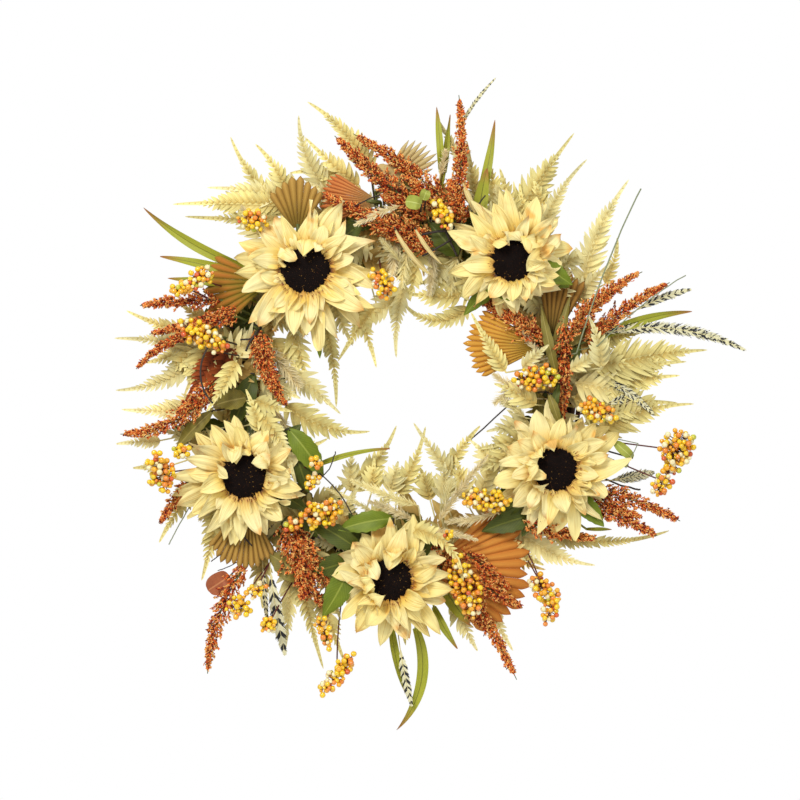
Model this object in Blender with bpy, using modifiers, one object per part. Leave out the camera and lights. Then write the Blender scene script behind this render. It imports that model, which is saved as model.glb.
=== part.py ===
"""Harvest door wreath: a bound vine ring that carries sunflowers, fan palms, ferns, grain sprays, berries,
feathers and grass blades, each a stem pushed into the ring, with a hanging ring that swings in a staple.

Metres, +Z up. The wreath hangs in the XZ plane, its back towards +Y and its front towards -Y. The origin is
the hook seat: the inner top of the hanging ring. Clock angles run anticlockwise from +X about the vine
ring's centre, as seen from the front. A depth is a distance in front of the plane y = 0.
"""

import math

import bmesh
import bpy
from mathutils import Matrix, Vector

# Vine ring: four canes in a two by two bundle, with a lane between them for the stems.
BASE_OUTER_DIAMETER = 0.4064
CANE_RADIUS = 0.0085
CANE_WOBBLE = 0.001
CANE_GAP = 0.0005
STEM_LANE = 0.009
CANE_END_GAP_DEG = 4.0
CANE_POINTS = 36
BACK_CLEARANCE = 0.003

# Binding wire.
TIE_WIRE_RADIUS = 0.0008
TIE_CLEARANCE = 0.0004
TIE_CLOCKS = (116, 241, 343)

# Hanging ring and the staple that it swings in.
HANG_RING_INNER_RADIUS = 0.019
HANG_WIRE_RADIUS = 0.001
EYE_CLEARANCE = 0.0004
STAPLE_WIRE_RADIUS = 0.0008
STAPLE_LEG = 0.018

# Stems and thin blades.
STEM_RADIUS = 0.0015
STEM_GRIP = 0.011
BLADE_THICKNESS = 0.0012
BLADE_STEP = 0.0005
LAYER_GAP = 0.0012

# Sunflowers.
PETAL_COUNT = 14
PETAL_WIDTH = 0.021
SEED_DISC_RADIUS = 0.025
SEED_DISC_HEIGHT = 0.013
CALYX_RADIUS = 0.017
CALYX_DEPTH = 0.009
FIT_GAP = 0.0004
LEAF_WIDTH = 0.030

# Fan palms, grain sprays, berries.
FAN_THICKNESS = 0.001
FAN_FOLD = 0.0028
FAN_HUB = 0.014
SPIKE_RADIUS = 0.0058
BERRY_LUMP_RADIUS = 0.0125
BERRY_STEM_RADIUS = 0.0013
FEATHER_WIDTH = 0.011
GRASS_WIDTH = 0.009

# The ring that the rows of lengths and distances suit; they spread with it.
LAYOUT_RING_RADIUS = 0.1807

# What follows from the sizes above.
CANE_OFFSET = STEM_LANE / 2 + CANE_RADIUS
RING_RADIUS = BASE_OUTER_DIAMETER / 2 - CANE_OFFSET - CANE_RADIUS - CANE_WOBBLE
BACK_CANE_DEPTH = BACK_CLEARANCE + CANE_RADIUS
FRONT_CANE_DEPTH = BACK_CANE_DEPTH + 2 * CANE_RADIUS + CANE_GAP
VINE_FRONT_DEPTH = FRONT_CANE_DEPTH + CANE_RADIUS
STEM_TIP_DEPTH = VINE_FRONT_DEPTH - STEM_GRIP
HANG_RING_RADIUS = HANG_RING_INNER_RADIUS + HANG_WIRE_RADIUS
HINGE_Z = -(HANG_RING_INNER_RADIUS + HANG_RING_RADIUS)
RING_CENTRE_Z = HINGE_Z - RING_RADIUS
SPREAD = RING_RADIUS / LAYOUT_RING_RADIUS

# Each kind of piece has its own layer, from the vine ring forwards, so that crossing pieces stay clear.
FERN_STACK = 5 * BLADE_STEP + BLADE_THICKNESS
BACK_FERN_DEPTH = VINE_FRONT_DEPTH + TIE_CLEARANCE + 2 * TIE_WIRE_RADIUS + 2 * LAYER_GAP
FRONT_FERN_DEPTH = BACK_FERN_DEPTH + FERN_STACK + LAYER_GAP
FEATHER_DEPTH = FRONT_FERN_DEPTH + FERN_STACK + LAYER_GAP
GRASS_DEPTH = FEATHER_DEPTH + 2 * BLADE_STEP + BLADE_THICKNESS + LAYER_GAP
FAN_DEPTH = GRASS_DEPTH + 2 * BLADE_STEP + BLADE_THICKNESS + FAN_FOLD + LAYER_GAP
SPIKE_DEPTH = FAN_DEPTH + FAN_FOLD + 2 * LAYER_GAP + SPIKE_RADIUS
LEAF_DEPTH = SPIKE_DEPTH + SPIKE_RADIUS + 2 * LAYER_GAP
BACK_PETAL_DEPTH = LEAF_DEPTH + BLADE_THICKNESS + LAYER_GAP
FRONT_PETAL_DEPTH = BACK_PETAL_DEPTH + 0.7 * BLADE_THICKNESS
SEED_DISC_DEPTH = FRONT_PETAL_DEPTH + BLADE_THICKNESS + FIT_GAP
BERRY_DEPTH = FRONT_PETAL_DEPTH + BLADE_THICKNESS + LAYER_GAP + BERRY_LUMP_RADIUS

# Picks. Each row: name, clock angle of its stem, and its members as (heading, length, bend): the direction
# and length of the straight line from stem to tip, and how far the member turns to the left on its way.
FERN_PICKS = (
    ("fern_pick_upper_right", 53, ((61, 0.162, -25), (48, 0.146, -5), (33, 0.165, 50), (103, 0.120, 0))),
    ("fern_pick_top", 104, ((112, 0.155, 40), (121, 0.140, -40), (142, 0.105, 50), (286, 0.135, -30))),
    ("fern_pick_upper_left", 136, ((146, 0.155, 50), (111, 0.166, 40), (100, 0.149, 40), (293, 0.150, -45))),
    ("fern_pick_left", 179, ((142, 0.145, 30), (161, 0.145, 40), (186, 0.130, -30), (345, 0.150, 40))),
    ("fern_pick_lower_left", 230, ((214, 0.124, 60), (191, 0.150, 60), (266, 0.150, -12), (281, 0.166, 33))),
    ("fern_pick_bottom_right", 300, ((1, 0.195, 25), (344, 0.126, -15), (282, 0.130, 45), (126, 0.150, -50))),
    ("fern_pick_right", 353, ((24, 0.168, -10), (4, 0.140, -10), (187, 0.094, 15))),
)
GRAIN_PICKS = (
    ("grain_pick_top", 74, ((139, 0.160, 10), (131, 0.142, 40), (85, 0.150, 25))),
    ("grain_pick_upper_left", 86, ((164, 0.108, -30),)),
    ("grain_pick_left_upper", 161, ((159, 0.118, 30), (190, 0.108, 30))),
    ("grain_pick_inner_left", 170, ((312, 0.078, -30), (288, 0.050, -20))),
    ("grain_pick_left", 187, ((193, 0.128, -30), (224, 0.130, 0))),
    ("grain_pick_bottom_left", 224, ((246, 0.197, 35), (290, 0.112, 5))),
    ("grain_pick_bottom_right", 279, ((306, 0.166, -12), (333, 0.112, -20))),
    ("grain_pick_lower_right", 322, ((325, 0.088, 40), (350, 0.160, -30), (341, 0.140, -20))),
    ("grain_pick_right", 15, ((44, 0.121, -40), (31, 0.136, -18), (265, 0.066, -10), (150, 0.084, 0))),
)
BERRY_PICKS = (
    ("berry_pick_upper_left", 156, ((86, 0.108, 0), (138, 0.075, 0), (193, 0.052, 0))),
    ("berry_pick_lower_left", 183, ((223, 0.114, 0),)),
    ("berry_pick_inner_left", 235, ((44, 0.026, 0), (245, 0.100, 0))),
    ("berry_pick_bottom", 246, ((272, 0.141, 0), (265, 0.095, 0))),
    ("berry_pick_lower_right", 310.5, ((140, 0.033, 0), (238, 0.089, 0), (295, 0.088, 0))),
    ("berry_pick_right", 2, ((166, 0.036, 0), (324, 0.143, 0))),
    ("berry_pick_top", 83, ((236, 0.074, 0), (31, 0.028, 0))),
)
FEATHER_PICKS = (
    ("feather_pick_right", 9, ((5, 0.201, -40), (331, 0.110, -40), (31, 0.162, -30))),
    ("feather_pick_bottom_left", 219, ((274, 0.173, 14),)),
    ("feather_pick_top", 66, ((81, 0.180, -40),)),
)
GRASS_PICKS = (
    ("grass_pick_upper_left", 146, ((143, 0.167, 20), (157, 0.122, 0), (169, 0.108, 0))),
    ("grass_pick_bottom", 272, ((268, 0.190, -45), (274, 0.150, 30))),
    ("grass_pick_top", 80, ((88, 0.132, 0), (59, 0.136, 40))),
    ("grass_pick_right", 5, ((22, 0.145, -30), (11, 0.105, -15))),
)
# Fan palms: name, clock angle of the stem, heading of the middle pleat, opening angle, blade length, pleats.
FAN_PALMS = (
    ("fan_palm_bottom_right", 283, 354, 84, 0.090, 12),
    ("fan_palm_right_inner", 20, 189, 44, 0.088, 6),
    ("fan_palm_right_outer", 26, 76, 36, 0.082, 5),
    ("fan_palm_top", 98, 172, 56, 0.062, 7),
    ("fan_palm_left", 142, 190, 60, 0.074, 8),
    ("fan_palm_bottom_left", 213, 258, 64, 0.082, 9),
)
# Sunflowers: clock angle and distance of the head from the ring's centre, petal tip radius, turn of the
# petals, and its leaves as (heading, length from the head's centre).
SUNFLOWERS = (
    ("sunflower_upper_left", 128, 0.168, 0.082, 4, ((272, 0.092), (40, 0.080))),
    ("sunflower_upper_right", 49.5, 0.188, 0.075, 11, ((337, 0.062), (228, 0.062))),
    ("sunflower_right", 333.5, 0.186, 0.074, 7, ((310, 0.076), (245, 0.074))),
    ("sunflower_bottom", 266.5, 0.203, 0.067, 2, ((122, 0.080), (196, 0.074))),
    ("sunflower_left", 208, 0.192, 0.071, 15, ((42, 0.078),)),
)


def material(name, colour, roughness, metallic=0.0):
    """A named Principled material."""
    made = bpy.data.materials.new(name)
    made.use_nodes = True
    shader = made.node_tree.nodes["Principled BSDF"]
    shader.inputs["Base Color"].default_value = (*colour, 1.0)
    shader.inputs["Roughness"].default_value = roughness
    shader.inputs["Metallic"].default_value = metallic
    return made


def add_object(name, mesh, place=(0, 0, 0), parent=None, paint=None):
    """Links a mesh as an object of the wreath's collection."""
    obj = bpy.data.objects.new(name, mesh)
    WREATH.objects.link(obj)
    obj.location = place
    obj.parent = parent
    if paint:
        mesh.materials.clear()
        mesh.materials.append(paint)
    return obj


def solid_from(obj):
    """The evaluated object as a plain mesh in its parent's frame, with its caps welded; the object goes."""
    bpy.context.view_layer.update()
    graph = bpy.context.evaluated_depsgraph_get()
    mesh = bpy.data.meshes.new_from_object(obj.evaluated_get(graph))
    mesh.transform(obj.matrix_basis)
    data = obj.data
    bpy.data.objects.remove(obj)
    if isinstance(data, bpy.types.Curve):
        bpy.data.curves.remove(data)
    shape = bmesh.new()
    shape.from_mesh(mesh)
    bmesh.ops.remove_doubles(shape, verts=shape.verts, dist=1e-6)
    bmesh.ops.recalc_face_normals(shape, faces=shape.faces)
    shape.to_mesh(mesh)
    shape.free()
    return mesh


def tube(points, radii, resolution=1, closed=False):
    """A round wire or stem through the points, with a radius for each point."""
    curve = bpy.data.curves.new("tube", "CURVE")
    curve.dimensions = "3D"
    curve.bevel_depth = 1.0
    curve.bevel_resolution = resolution
    curve.use_fill_caps = not closed
    spline = curve.splines.new("POLY")
    spline.points.add(len(points) - 1)
    for point, place, radius in zip(spline.points, points, radii):
        point.co = (*place, 1.0)
        point.radius = radius
    spline.use_cyclic_u = closed
    return solid_from(add_object("tube", curve))


def plate(outline, depth, thickness):
    """A flat piece parallel to the wreath: its outline in (x, z), its back at the depth."""
    curve = bpy.data.curves.new("plate", "CURVE")
    curve.dimensions = "2D"
    curve.fill_mode = "BOTH"
    curve.extrude = thickness / 2
    spline = curve.splines.new("POLY")
    spline.points.add(len(outline) - 1)
    for point, (x, z) in zip(spline.points, outline):
        point.co = (x, z, 0.0, 1.0)
    spline.use_cyclic_u = True
    obj = add_object("plate", curve, (0, -(depth + thickness / 2), 0))
    obj.rotation_euler = (math.pi / 2, 0, 0)
    return solid_from(obj)


def turned(profile, steps):
    """A solid of revolution about the Y axis; the profile's points are (radius, depth), back to front."""
    mesh = bpy.data.meshes.new("turned")
    places = [(radius, -depth, 0.0) for radius, depth in profile]
    mesh.from_pydata(places, [(i, i + 1) for i in range(len(places) - 1)], [])
    obj = add_object("turned", mesh)
    screw = obj.modifiers.new("turn", "SCREW")
    screw.axis = "Y"
    screw.steps = steps
    screw.render_steps = steps
    screw.use_merge_vertices = True
    screw.merge_threshold = 0.0001
    return solid_from(obj)


def fused(meshes):
    """One closed body from meshes that overlap."""
    base = add_object("body", meshes[0])
    helpers = bpy.data.collections.new("joined")
    bpy.context.scene.collection.children.link(helpers)
    for mesh in meshes[1:]:
        helpers.objects.link(bpy.data.objects.new("joined", mesh))
    union = base.modifiers.new("join", "BOOLEAN")
    union.operation = "UNION"
    union.solver = "EXACT"
    union.operand_type = "COLLECTION"
    union.collection = helpers
    result = solid_from(base)
    for other in list(helpers.objects):
        bpy.data.objects.remove(other)
    bpy.data.collections.remove(helpers)
    return result


def arc_path(heading, length, bend, steps, start=0.0):
    """Points (x, z) and directions on an arc whose chord has this heading and length, spread with the ring."""
    half = math.radians(bend) / 2 or 1e-6
    radius = SPREAD * length / (2 * math.sin(half))
    path = []
    for i in range(steps + 1):
        turn = half * (2 * (start + (1 - start) * i / steps) - 1)
        along = radius * (math.sin(turn) + math.sin(half))
        side = radius * (math.cos(half) - math.cos(turn))
        across = math.radians(heading)
        place = Vector((along * math.cos(across) - side * math.sin(across),
                        along * math.sin(across) + side * math.cos(across)))
        path.append((place, across + turn))
    return path


def outline_along(path, left_widths, right_widths):
    """A closed outline: out along the path's left side and back along its right side."""
    left, right = [], []
    for (place, angle), wide_left, wide_right in zip(path, left_widths, right_widths):
        normal = Vector((-math.sin(angle), math.cos(angle)))
        left.append(place + normal * wide_left)
        right.append(place - normal * wide_right)
    return left + right[::-1]


def frond_plate(member, depth):
    """A fern frond: a bare stem, then leaflets as teeth that shrink to a long bare tip."""
    heading, length, bend = member
    steps, stem_share, tip_share = 13, 0.28, 0.82
    path = arc_path(heading, length, bend, steps)
    widths = []
    for i in range(steps + 1):
        t = i / steps
        wide = BLADE_THICKNESS
        if stem_share < t < tip_share:
            swell = math.sin(math.pi * (t - stem_share) / (tip_share + 0.15 - stem_share))
            wide += swell * SPREAD * length * (0.105 if i % 2 else 0.035)
        widths.append(wide if i < steps else BLADE_THICKNESS / 2)
    return plate(outline_along(path, widths, widths), depth, BLADE_THICKNESS)


def blade_plate(member, depth, width, stem_share=0.0):
    """A grass blade, leaf or feather: a bare stem, then a blade that swells and narrows to its tip."""
    heading, length, bend = member
    steps = 9
    path = arc_path(heading, length, bend, steps)
    widths = []
    for i in range(steps + 1):
        t = max(0.0, (i / steps - stem_share) / (1 - stem_share))
        widths.append(BLADE_THICKNESS / 2 + width / 2 * math.sin(math.pi * t**0.8))
    return plate(outline_along(path, widths, widths), depth, BLADE_THICKNESS)


def stem_peg(depth):
    """The straight stem that is pushed into the ring's lane, from its tip to a layer's depth."""
    return tube([(0, -STEM_TIP_DEPTH, 0), (0, -depth, 0)], [STEM_RADIUS] * 2, resolution=2)


def place_pick(name, clock, meshes, paint):
    """Fuses a pick's pieces and stands it on the ring at its clock angle."""
    angle = math.radians(clock)
    place = (RING_RADIUS * math.cos(angle), 0, RING_RADIUS * math.sin(angle))
    add_object(name, fused(meshes), place, RING_CENTRE, paint)


def build_canes(paint):
    """Four vine canes with a slight wander, each with its two ends at a different clock angle."""
    for index in range(4):
        side = 1 if index % 2 else -1
        depth = FRONT_CANE_DEPTH if index < 2 else BACK_CANE_DEPTH
        first = 90 * index + 28
        sweep = 360 - CANE_END_GAP_DEG
        points = []
        for step in range(CANE_POINTS + 1):
            angle = math.radians(first + sweep * step / CANE_POINTS)
            wander = CANE_WOBBLE * math.sin(5 * angle + 2 * index)
            radius = RING_RADIUS + side * CANE_OFFSET + wander
            points.append((radius * math.cos(angle), -depth, radius * math.sin(angle)))
        mesh = tube(points, [CANE_RADIUS] * len(points))
        add_object(f"vine_cane_{index + 1}", mesh, parent=RING_CENTRE, paint=paint)


def build_ties(paint):
    """Wire bound round the four canes: straight runs between round corners that follow the canes."""
    corner = CANE_RADIUS + TIE_CLEARANCE + TIE_WIRE_RADIUS
    half_width = CANE_OFFSET + CANE_WOBBLE
    half_depth = (FRONT_CANE_DEPTH - BACK_CANE_DEPTH) / 2
    middle = (FRONT_CANE_DEPTH + BACK_CANE_DEPTH) / 2
    corner_steps = 4
    for index, clock in enumerate(TIE_CLOCKS):
        points = []
        for quarter, (side, front) in enumerate(((1, 1), (-1, 1), (-1, -1), (1, -1))):
            for step in range(corner_steps + 1):
                turn = math.radians(90 * (quarter + step / corner_steps))
                radial = side * half_width + corner * math.cos(turn)
                depth = middle + front * half_depth + corner * math.sin(turn)
                points.append((RING_RADIUS + radial, -depth, 0))
        mesh = tube(points, [TIE_WIRE_RADIUS] * len(points), closed=True)
        tie = add_object(f"wire_tie_{index + 1}", mesh, parent=RING_CENTRE, paint=paint)
        tie.rotation_euler = (0, -math.radians(clock), 0)


def build_hanger(paint):
    """The staple in the back of the vine and the hanging ring, whose origin is on the swing axis."""
    eye = HANG_WIRE_RADIUS + EYE_CLEARANCE + STAPLE_WIRE_RADIUS
    crown_steps = 8
    points = [(0, -STAPLE_LEG, -eye)]
    for step in range(crown_steps + 1):
        turn = math.pi * (step / crown_steps - 0.5)
        points.append((0, eye * math.cos(turn), eye * math.sin(turn)))
    points.append((0, -STAPLE_LEG, eye))
    staple = tube(points, [STAPLE_WIRE_RADIUS] * len(points), resolution=2)
    add_object("hanger_staple", staple, (0, 0, HINGE_Z), paint=paint)
    bpy.ops.mesh.primitive_torus_add(
        major_radius=HANG_RING_RADIUS, minor_radius=HANG_WIRE_RADIUS, major_segments=36, minor_segments=8
    )
    torus = bpy.context.object
    mesh = torus.data
    bpy.data.objects.remove(torus)
    mesh.transform(Matrix.Translation((0, 0, HANG_RING_RADIUS)) @ Matrix.Rotation(math.pi / 2, 4, "X"))
    add_object("hanger_ring", mesh, (0, 0, HINGE_Z), paint=paint)


def build_ferns(paint):
    """Fern picks, on two layers in turn so that neighbours can cross."""
    for index, (name, clock, members) in enumerate(FERN_PICKS):
        depth = FRONT_FERN_DEPTH if index % 2 else BACK_FERN_DEPTH
        meshes = [stem_peg(depth + BLADE_THICKNESS / 2)]
        for order, member in enumerate(members):
            meshes.append(frond_plate(member, depth + order * BLADE_STEP))
        place_pick(name, clock, meshes, paint)


def build_blades(picks, depth, width, stem_share, paint):
    """Feathers or grass blades, fanned out from one stem."""
    for name, clock, members in picks:
        meshes = [stem_peg(depth + BLADE_THICKNESS / 2)]
        for order, member in enumerate(members):
            meshes.append(blade_plate(member, depth + order * BLADE_STEP, width, stem_share))
        place_pick(name, clock, meshes, paint)


def fan_blade(heading, opening, length, pleats):
    """A pleated palm fan: folds that deepen outwards, each ending in a point."""
    rows = 3
    shape = bmesh.new()
    bmesh.ops.create_grid(shape, x_segments=2 * pleats, y_segments=rows, size=0.5)
    for vertex in shape.verts:
        across, out = vertex.co.x + 0.5, vertex.co.y + 0.5
        fold = round(across * 2 * pleats)
        crest = fold % 2
        reach = SPREAD * length * (0.94 - 0.16 * (2 * across - 1) ** 2) + crest * 0.06 * SPREAD * length * out
        radius = FAN_HUB + (reach - FAN_HUB) * out
        angle = math.radians(heading + opening * (across - 0.5))
        rise = FAN_FOLD * (2 * crest - 1) * out
        vertex.co = (radius * math.cos(angle), -FAN_DEPTH - rise, radius * math.sin(angle))
    mesh = bpy.data.meshes.new("fan")
    shape.to_mesh(mesh)
    shape.free()
    obj = add_object("fan", mesh)
    skin = obj.modifiers.new("thickness", "SOLIDIFY")
    skin.thickness = FAN_THICKNESS
    skin.offset = 0
    return solid_from(obj)


def build_fans(paints):
    """Fan palms: a peg, a stem out to the hub and the pleated blade."""
    for index, (name, clock, heading, opening, length, pleats) in enumerate(FAN_PALMS):
        blade = fan_blade(heading, opening, length, pleats)
        stem_end = arc_path(heading + opening / pleats / 4, FAN_HUB * 1.5 / SPREAD, 0, 1)[-1][0]
        stem = tube(
            [(0, -FAN_DEPTH, 0), (stem_end.x, -FAN_DEPTH - FAN_FOLD / 8, stem_end.y)],
            [1.4 * STEM_RADIUS] * 2, resolution=2,
        )
        meshes = [stem_peg(FAN_DEPTH), stem, blade]
        place_pick(name, clock, meshes, paints[index % len(paints)])


def build_grain(paint):
    """Grain sprays: spikes that swell from a thin stem and taper to a point."""
    steps = 8
    for name, clock, members in GRAIN_PICKS:
        meshes = [stem_peg(SPIKE_DEPTH)]
        for order, (heading, length, bend) in enumerate(members):
            depth = SPIKE_DEPTH + (order - 1) * BLADE_STEP / 2
            points, radii = [], []
            for i, (place, _) in enumerate(arc_path(heading, length, bend, steps)):
                swell = math.sin(math.pi * min(1.0, i / steps * 1.02 + 0.02) ** 0.75) ** 0.8
                points.append((place.x, -depth, place.y))
                radii.append(STEM_RADIUS * 0.8 + (SPIKE_RADIUS - STEM_RADIUS) * swell)
            meshes.append(tube(points, radii))
        place_pick(name, clock, meshes, paint)


def berry_lump(x, z, radius):
    """The outer shape of one bunch of berries."""
    shape = bmesh.new()
    bmesh.ops.create_icosphere(shape, subdivisions=2, radius=radius)
    bmesh.ops.translate(shape, verts=shape.verts, vec=(x, -BERRY_DEPTH, z))
    mesh = bpy.data.meshes.new("berries")
    shape.to_mesh(mesh)
    shape.free()
    return mesh


def build_berries(paint):
    """Berry picks: a forked stem with a bunch at the end of each branch."""
    for name, clock, members in BERRY_PICKS:
        meshes = [stem_peg(BERRY_DEPTH)]
        for heading, length, bend in members:
            end = arc_path(heading, length, bend, 1)[-1][0]
            branch = tube(
                [(0, -BERRY_DEPTH, 0), (end.x, -BERRY_DEPTH, end.y)], [BERRY_STEM_RADIUS] * 2, resolution=2
            )
            meshes += [branch, berry_lump(end.x, end.y, BERRY_LUMP_RADIUS)]
        place_pick(name, clock, meshes, paint)


def petal_whorl(tip_radius, turn, depth):
    """A star of pointed petals round an open middle, cut from one flat sheet."""
    root_radius = 0.45 * SEED_DISC_RADIUS + 0.5 * CALYX_RADIUS
    outline = []
    for index in range(PETAL_COUNT):
        middle = math.radians(turn + 360 * index / PETAL_COUNT)
        reach = tip_radius * (1.0 - 0.10 * (index % 2))
        shoulder_radius = 0.68 * reach
        shoulder = min(PETAL_WIDTH / 2 / shoulder_radius, 0.92 * math.pi / PETAL_COUNT)
        notch = math.pi / PETAL_COUNT
        for radius, offset in (
            (root_radius, -notch), (shoulder_radius, -shoulder), (reach, 0.0), (shoulder_radius, shoulder)
        ):
            angle = middle + offset
            outline.append((radius * math.cos(angle), radius * math.sin(angle)))
    return plate(outline, depth, BLADE_THICKNESS)


def build_sunflower(name, clock, distance, tip_radius, turn, leaves, paints):
    """A flower head of petals, seed disc and a green calyx with its stem and leaves."""
    angle = math.radians(clock)
    distance *= SPREAD
    tip_radius *= SPREAD
    toward = Vector((math.cos(angle), math.sin(angle)))
    place = (distance * toward.x, 0, distance * toward.y)
    whorls = [petal_whorl(tip_radius, turn, BACK_PETAL_DEPTH)]
    whorls.append(petal_whorl(0.86 * tip_radius, turn + 180 / PETAL_COUNT, FRONT_PETAL_DEPTH))
    add_object(name + "_petals", fused(whorls), place, RING_CENTRE, paints["petal"])

    base, top = SEED_DISC_DEPTH, SEED_DISC_DEPTH + SEED_DISC_HEIGHT
    dome = [(SEED_DISC_RADIUS * math.cos(t), base + SEED_DISC_HEIGHT * (0.35 + 0.65 * math.sin(t)))
            for t in (0.0, 0.45, 0.95)]
    disc = turned([(0, base), (SEED_DISC_RADIUS, base), *dome, (0, top)], 20)
    add_object(name + "_seed_disc", disc, place, RING_CENTRE, paints["seed"])

    rim = BACK_PETAL_DEPTH - FIT_GAP
    cup = turned([(0, rim - CALYX_DEPTH), (0.45 * CALYX_RADIUS, rim - CALYX_DEPTH),
                  (CALYX_RADIUS, rim - 0.3 * CALYX_DEPTH), (CALYX_RADIUS, rim), (0, rim)], 16)
    lane = toward * (RING_RADIUS - distance)
    knee_depth = VINE_FRONT_DEPTH + 2 * LAYER_GAP
    stem = tube(
        [(lane.x, -STEM_TIP_DEPTH, lane.y), (lane.x, -knee_depth, lane.y), (0, -(rim - 0.6 * CALYX_DEPTH), 0)],
        [1.2 * STEM_RADIUS] * 3, resolution=2,
    )
    meshes = [cup, stem]
    for order, (heading, length) in enumerate(leaves):
        leaf_depth = LEAF_DEPTH + order * BLADE_STEP / 2
        meshes.append(blade_plate((heading, length, 0), leaf_depth, LEAF_WIDTH))
    add_object(name + "_stem", fused(meshes), place, RING_CENTRE, paints["leaf"])


def main():
    bark = material("vine_bark", (0.11, 0.07, 0.05), 0.85)
    wire = material("hanger_wire", (0.35, 0.34, 0.33), 0.4, 1.0)
    straw = material("fern_straw", (0.80, 0.70, 0.45), 0.75)
    rust = material("grain_rust", (0.62, 0.22, 0.07), 0.7)
    amber = material("berry_amber", (0.90, 0.52, 0.10), 0.3)
    palm = material("palm_orange", (0.76, 0.42, 0.15), 0.7)
    tan = material("palm_tan", (0.62, 0.48, 0.22), 0.75)
    barred = material("feather_barred", (0.70, 0.68, 0.55), 0.7)
    grass = material("grass_green", (0.45, 0.50, 0.12), 0.6)
    flower = {
        "petal": material("petal_cream", (0.94, 0.85, 0.56), 0.7),
        "seed": material("seed_brown", (0.05, 0.03, 0.02), 0.9),
        "leaf": material("leaf_green", (0.25, 0.36, 0.06), 0.6),
    }
    build_canes(bark)
    build_ties(wire)
    build_hanger(wire)
    build_ferns(straw)
    build_blades(FEATHER_PICKS, FEATHER_DEPTH, FEATHER_WIDTH, 0.35, barred)
    build_blades(GRASS_PICKS, GRASS_DEPTH, GRASS_WIDTH, 0.15, grass)
    build_fans((palm, palm, tan))
    build_grain(rust)
    build_berries(amber)
    for row in SUNFLOWERS:
        build_sunflower(*row, flower)


for old in list(bpy.data.objects):
    bpy.data.objects.remove(old)
WREATH = bpy.data.collections.new("harvest_door_wreath")
bpy.context.scene.collection.children.link(WREATH)
RING_CENTRE = bpy.data.objects.new("ring_centre", None)
WREATH.objects.link(RING_CENTRE)
RING_CENTRE.location = (0, 0, RING_CENTRE_Z)
main()
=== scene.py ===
"""The harvest door wreath's looks: every stem, petal, frond, grain and berry as its own small shape.

Places are in metres from the vine ring's centre, or as a clock angle anticlockwise from its right side. A
depth is a distance in front of the wreath's back, so a point at depth d has y = -d.
"""

import math

import bpy
import numpy as np
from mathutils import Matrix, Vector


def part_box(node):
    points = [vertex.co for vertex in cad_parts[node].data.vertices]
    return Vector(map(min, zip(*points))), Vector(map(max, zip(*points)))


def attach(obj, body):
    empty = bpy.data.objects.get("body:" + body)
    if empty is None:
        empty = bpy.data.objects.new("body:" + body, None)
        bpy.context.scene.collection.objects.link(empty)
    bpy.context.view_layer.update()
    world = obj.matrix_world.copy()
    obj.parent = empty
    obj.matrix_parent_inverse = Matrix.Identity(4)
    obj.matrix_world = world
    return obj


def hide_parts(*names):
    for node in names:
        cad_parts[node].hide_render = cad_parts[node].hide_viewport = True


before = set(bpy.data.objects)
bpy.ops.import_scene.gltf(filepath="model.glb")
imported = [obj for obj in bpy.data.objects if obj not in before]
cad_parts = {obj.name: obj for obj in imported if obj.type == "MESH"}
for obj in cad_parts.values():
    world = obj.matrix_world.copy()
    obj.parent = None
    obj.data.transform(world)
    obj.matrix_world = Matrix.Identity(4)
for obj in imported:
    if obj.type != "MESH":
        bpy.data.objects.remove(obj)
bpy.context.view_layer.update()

CANES = sorted(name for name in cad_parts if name.startswith("vine_cane_"))
cane_boxes = [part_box(name) for name in CANES]
CENTRE_X = (min(low[0] for low, _ in cane_boxes) + max(high[0] for _, high in cane_boxes)) / 2
CENTRE_Z = (min(low[2] for low, _ in cane_boxes) + max(high[2] for _, high in cane_boxes)) / 2
RING_RADIUS = 0.181

# How far in front of the wreath's back each layer lies; stems start at STEM_TIP, inside the vine.
STEM_TIP = 0.028
FERN_DEPTH = 0.046
FEATHER_DEPTH = 0.053
GRASS_DEPTH = 0.056
GRAIN_DEPTH = 0.072
LEAF_DEPTH = 0.080
PETAL_DEPTH = 0.084
BERRY_DEPTH = 0.096

FRONT = np.array([0.0, -1.0, 0.0])
TURN = 2 * math.pi

# First random seed of each kind of piece; the piece's place in its table is added.
SEEDS = {
    "petals": 100, "disc": 200, "calyx": 300, "fern": 400, "grain": 500, "berries": 600, "feather": 700,
    "grass": 800, "fan": 900, "vine": 1000, "tie": 1100, "hanger": 1200,
}


# ---------------------------------------------------------------- shapes


def unit(vectors):
    return vectors / np.maximum(np.linalg.norm(vectors, axis=-1, keepdims=True), 1e-9)


def smooth(t):
    """0 to 1 with soft ends."""
    t = np.clip(t, 0.0, 1.0)
    return t * t * (3 - 2 * t)


def circle(count):
    """Angles evenly round a circle."""
    return np.linspace(0, TURN, count, endpoint=False)


def clock_of(way):
    """The heading of a direction (x, z), in degrees anticlockwise from the right."""
    return math.degrees(math.atan2(way[1], way[0]))


def length_of(path):
    return np.linalg.norm(np.diff(path, axis=0), axis=1).sum()


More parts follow.
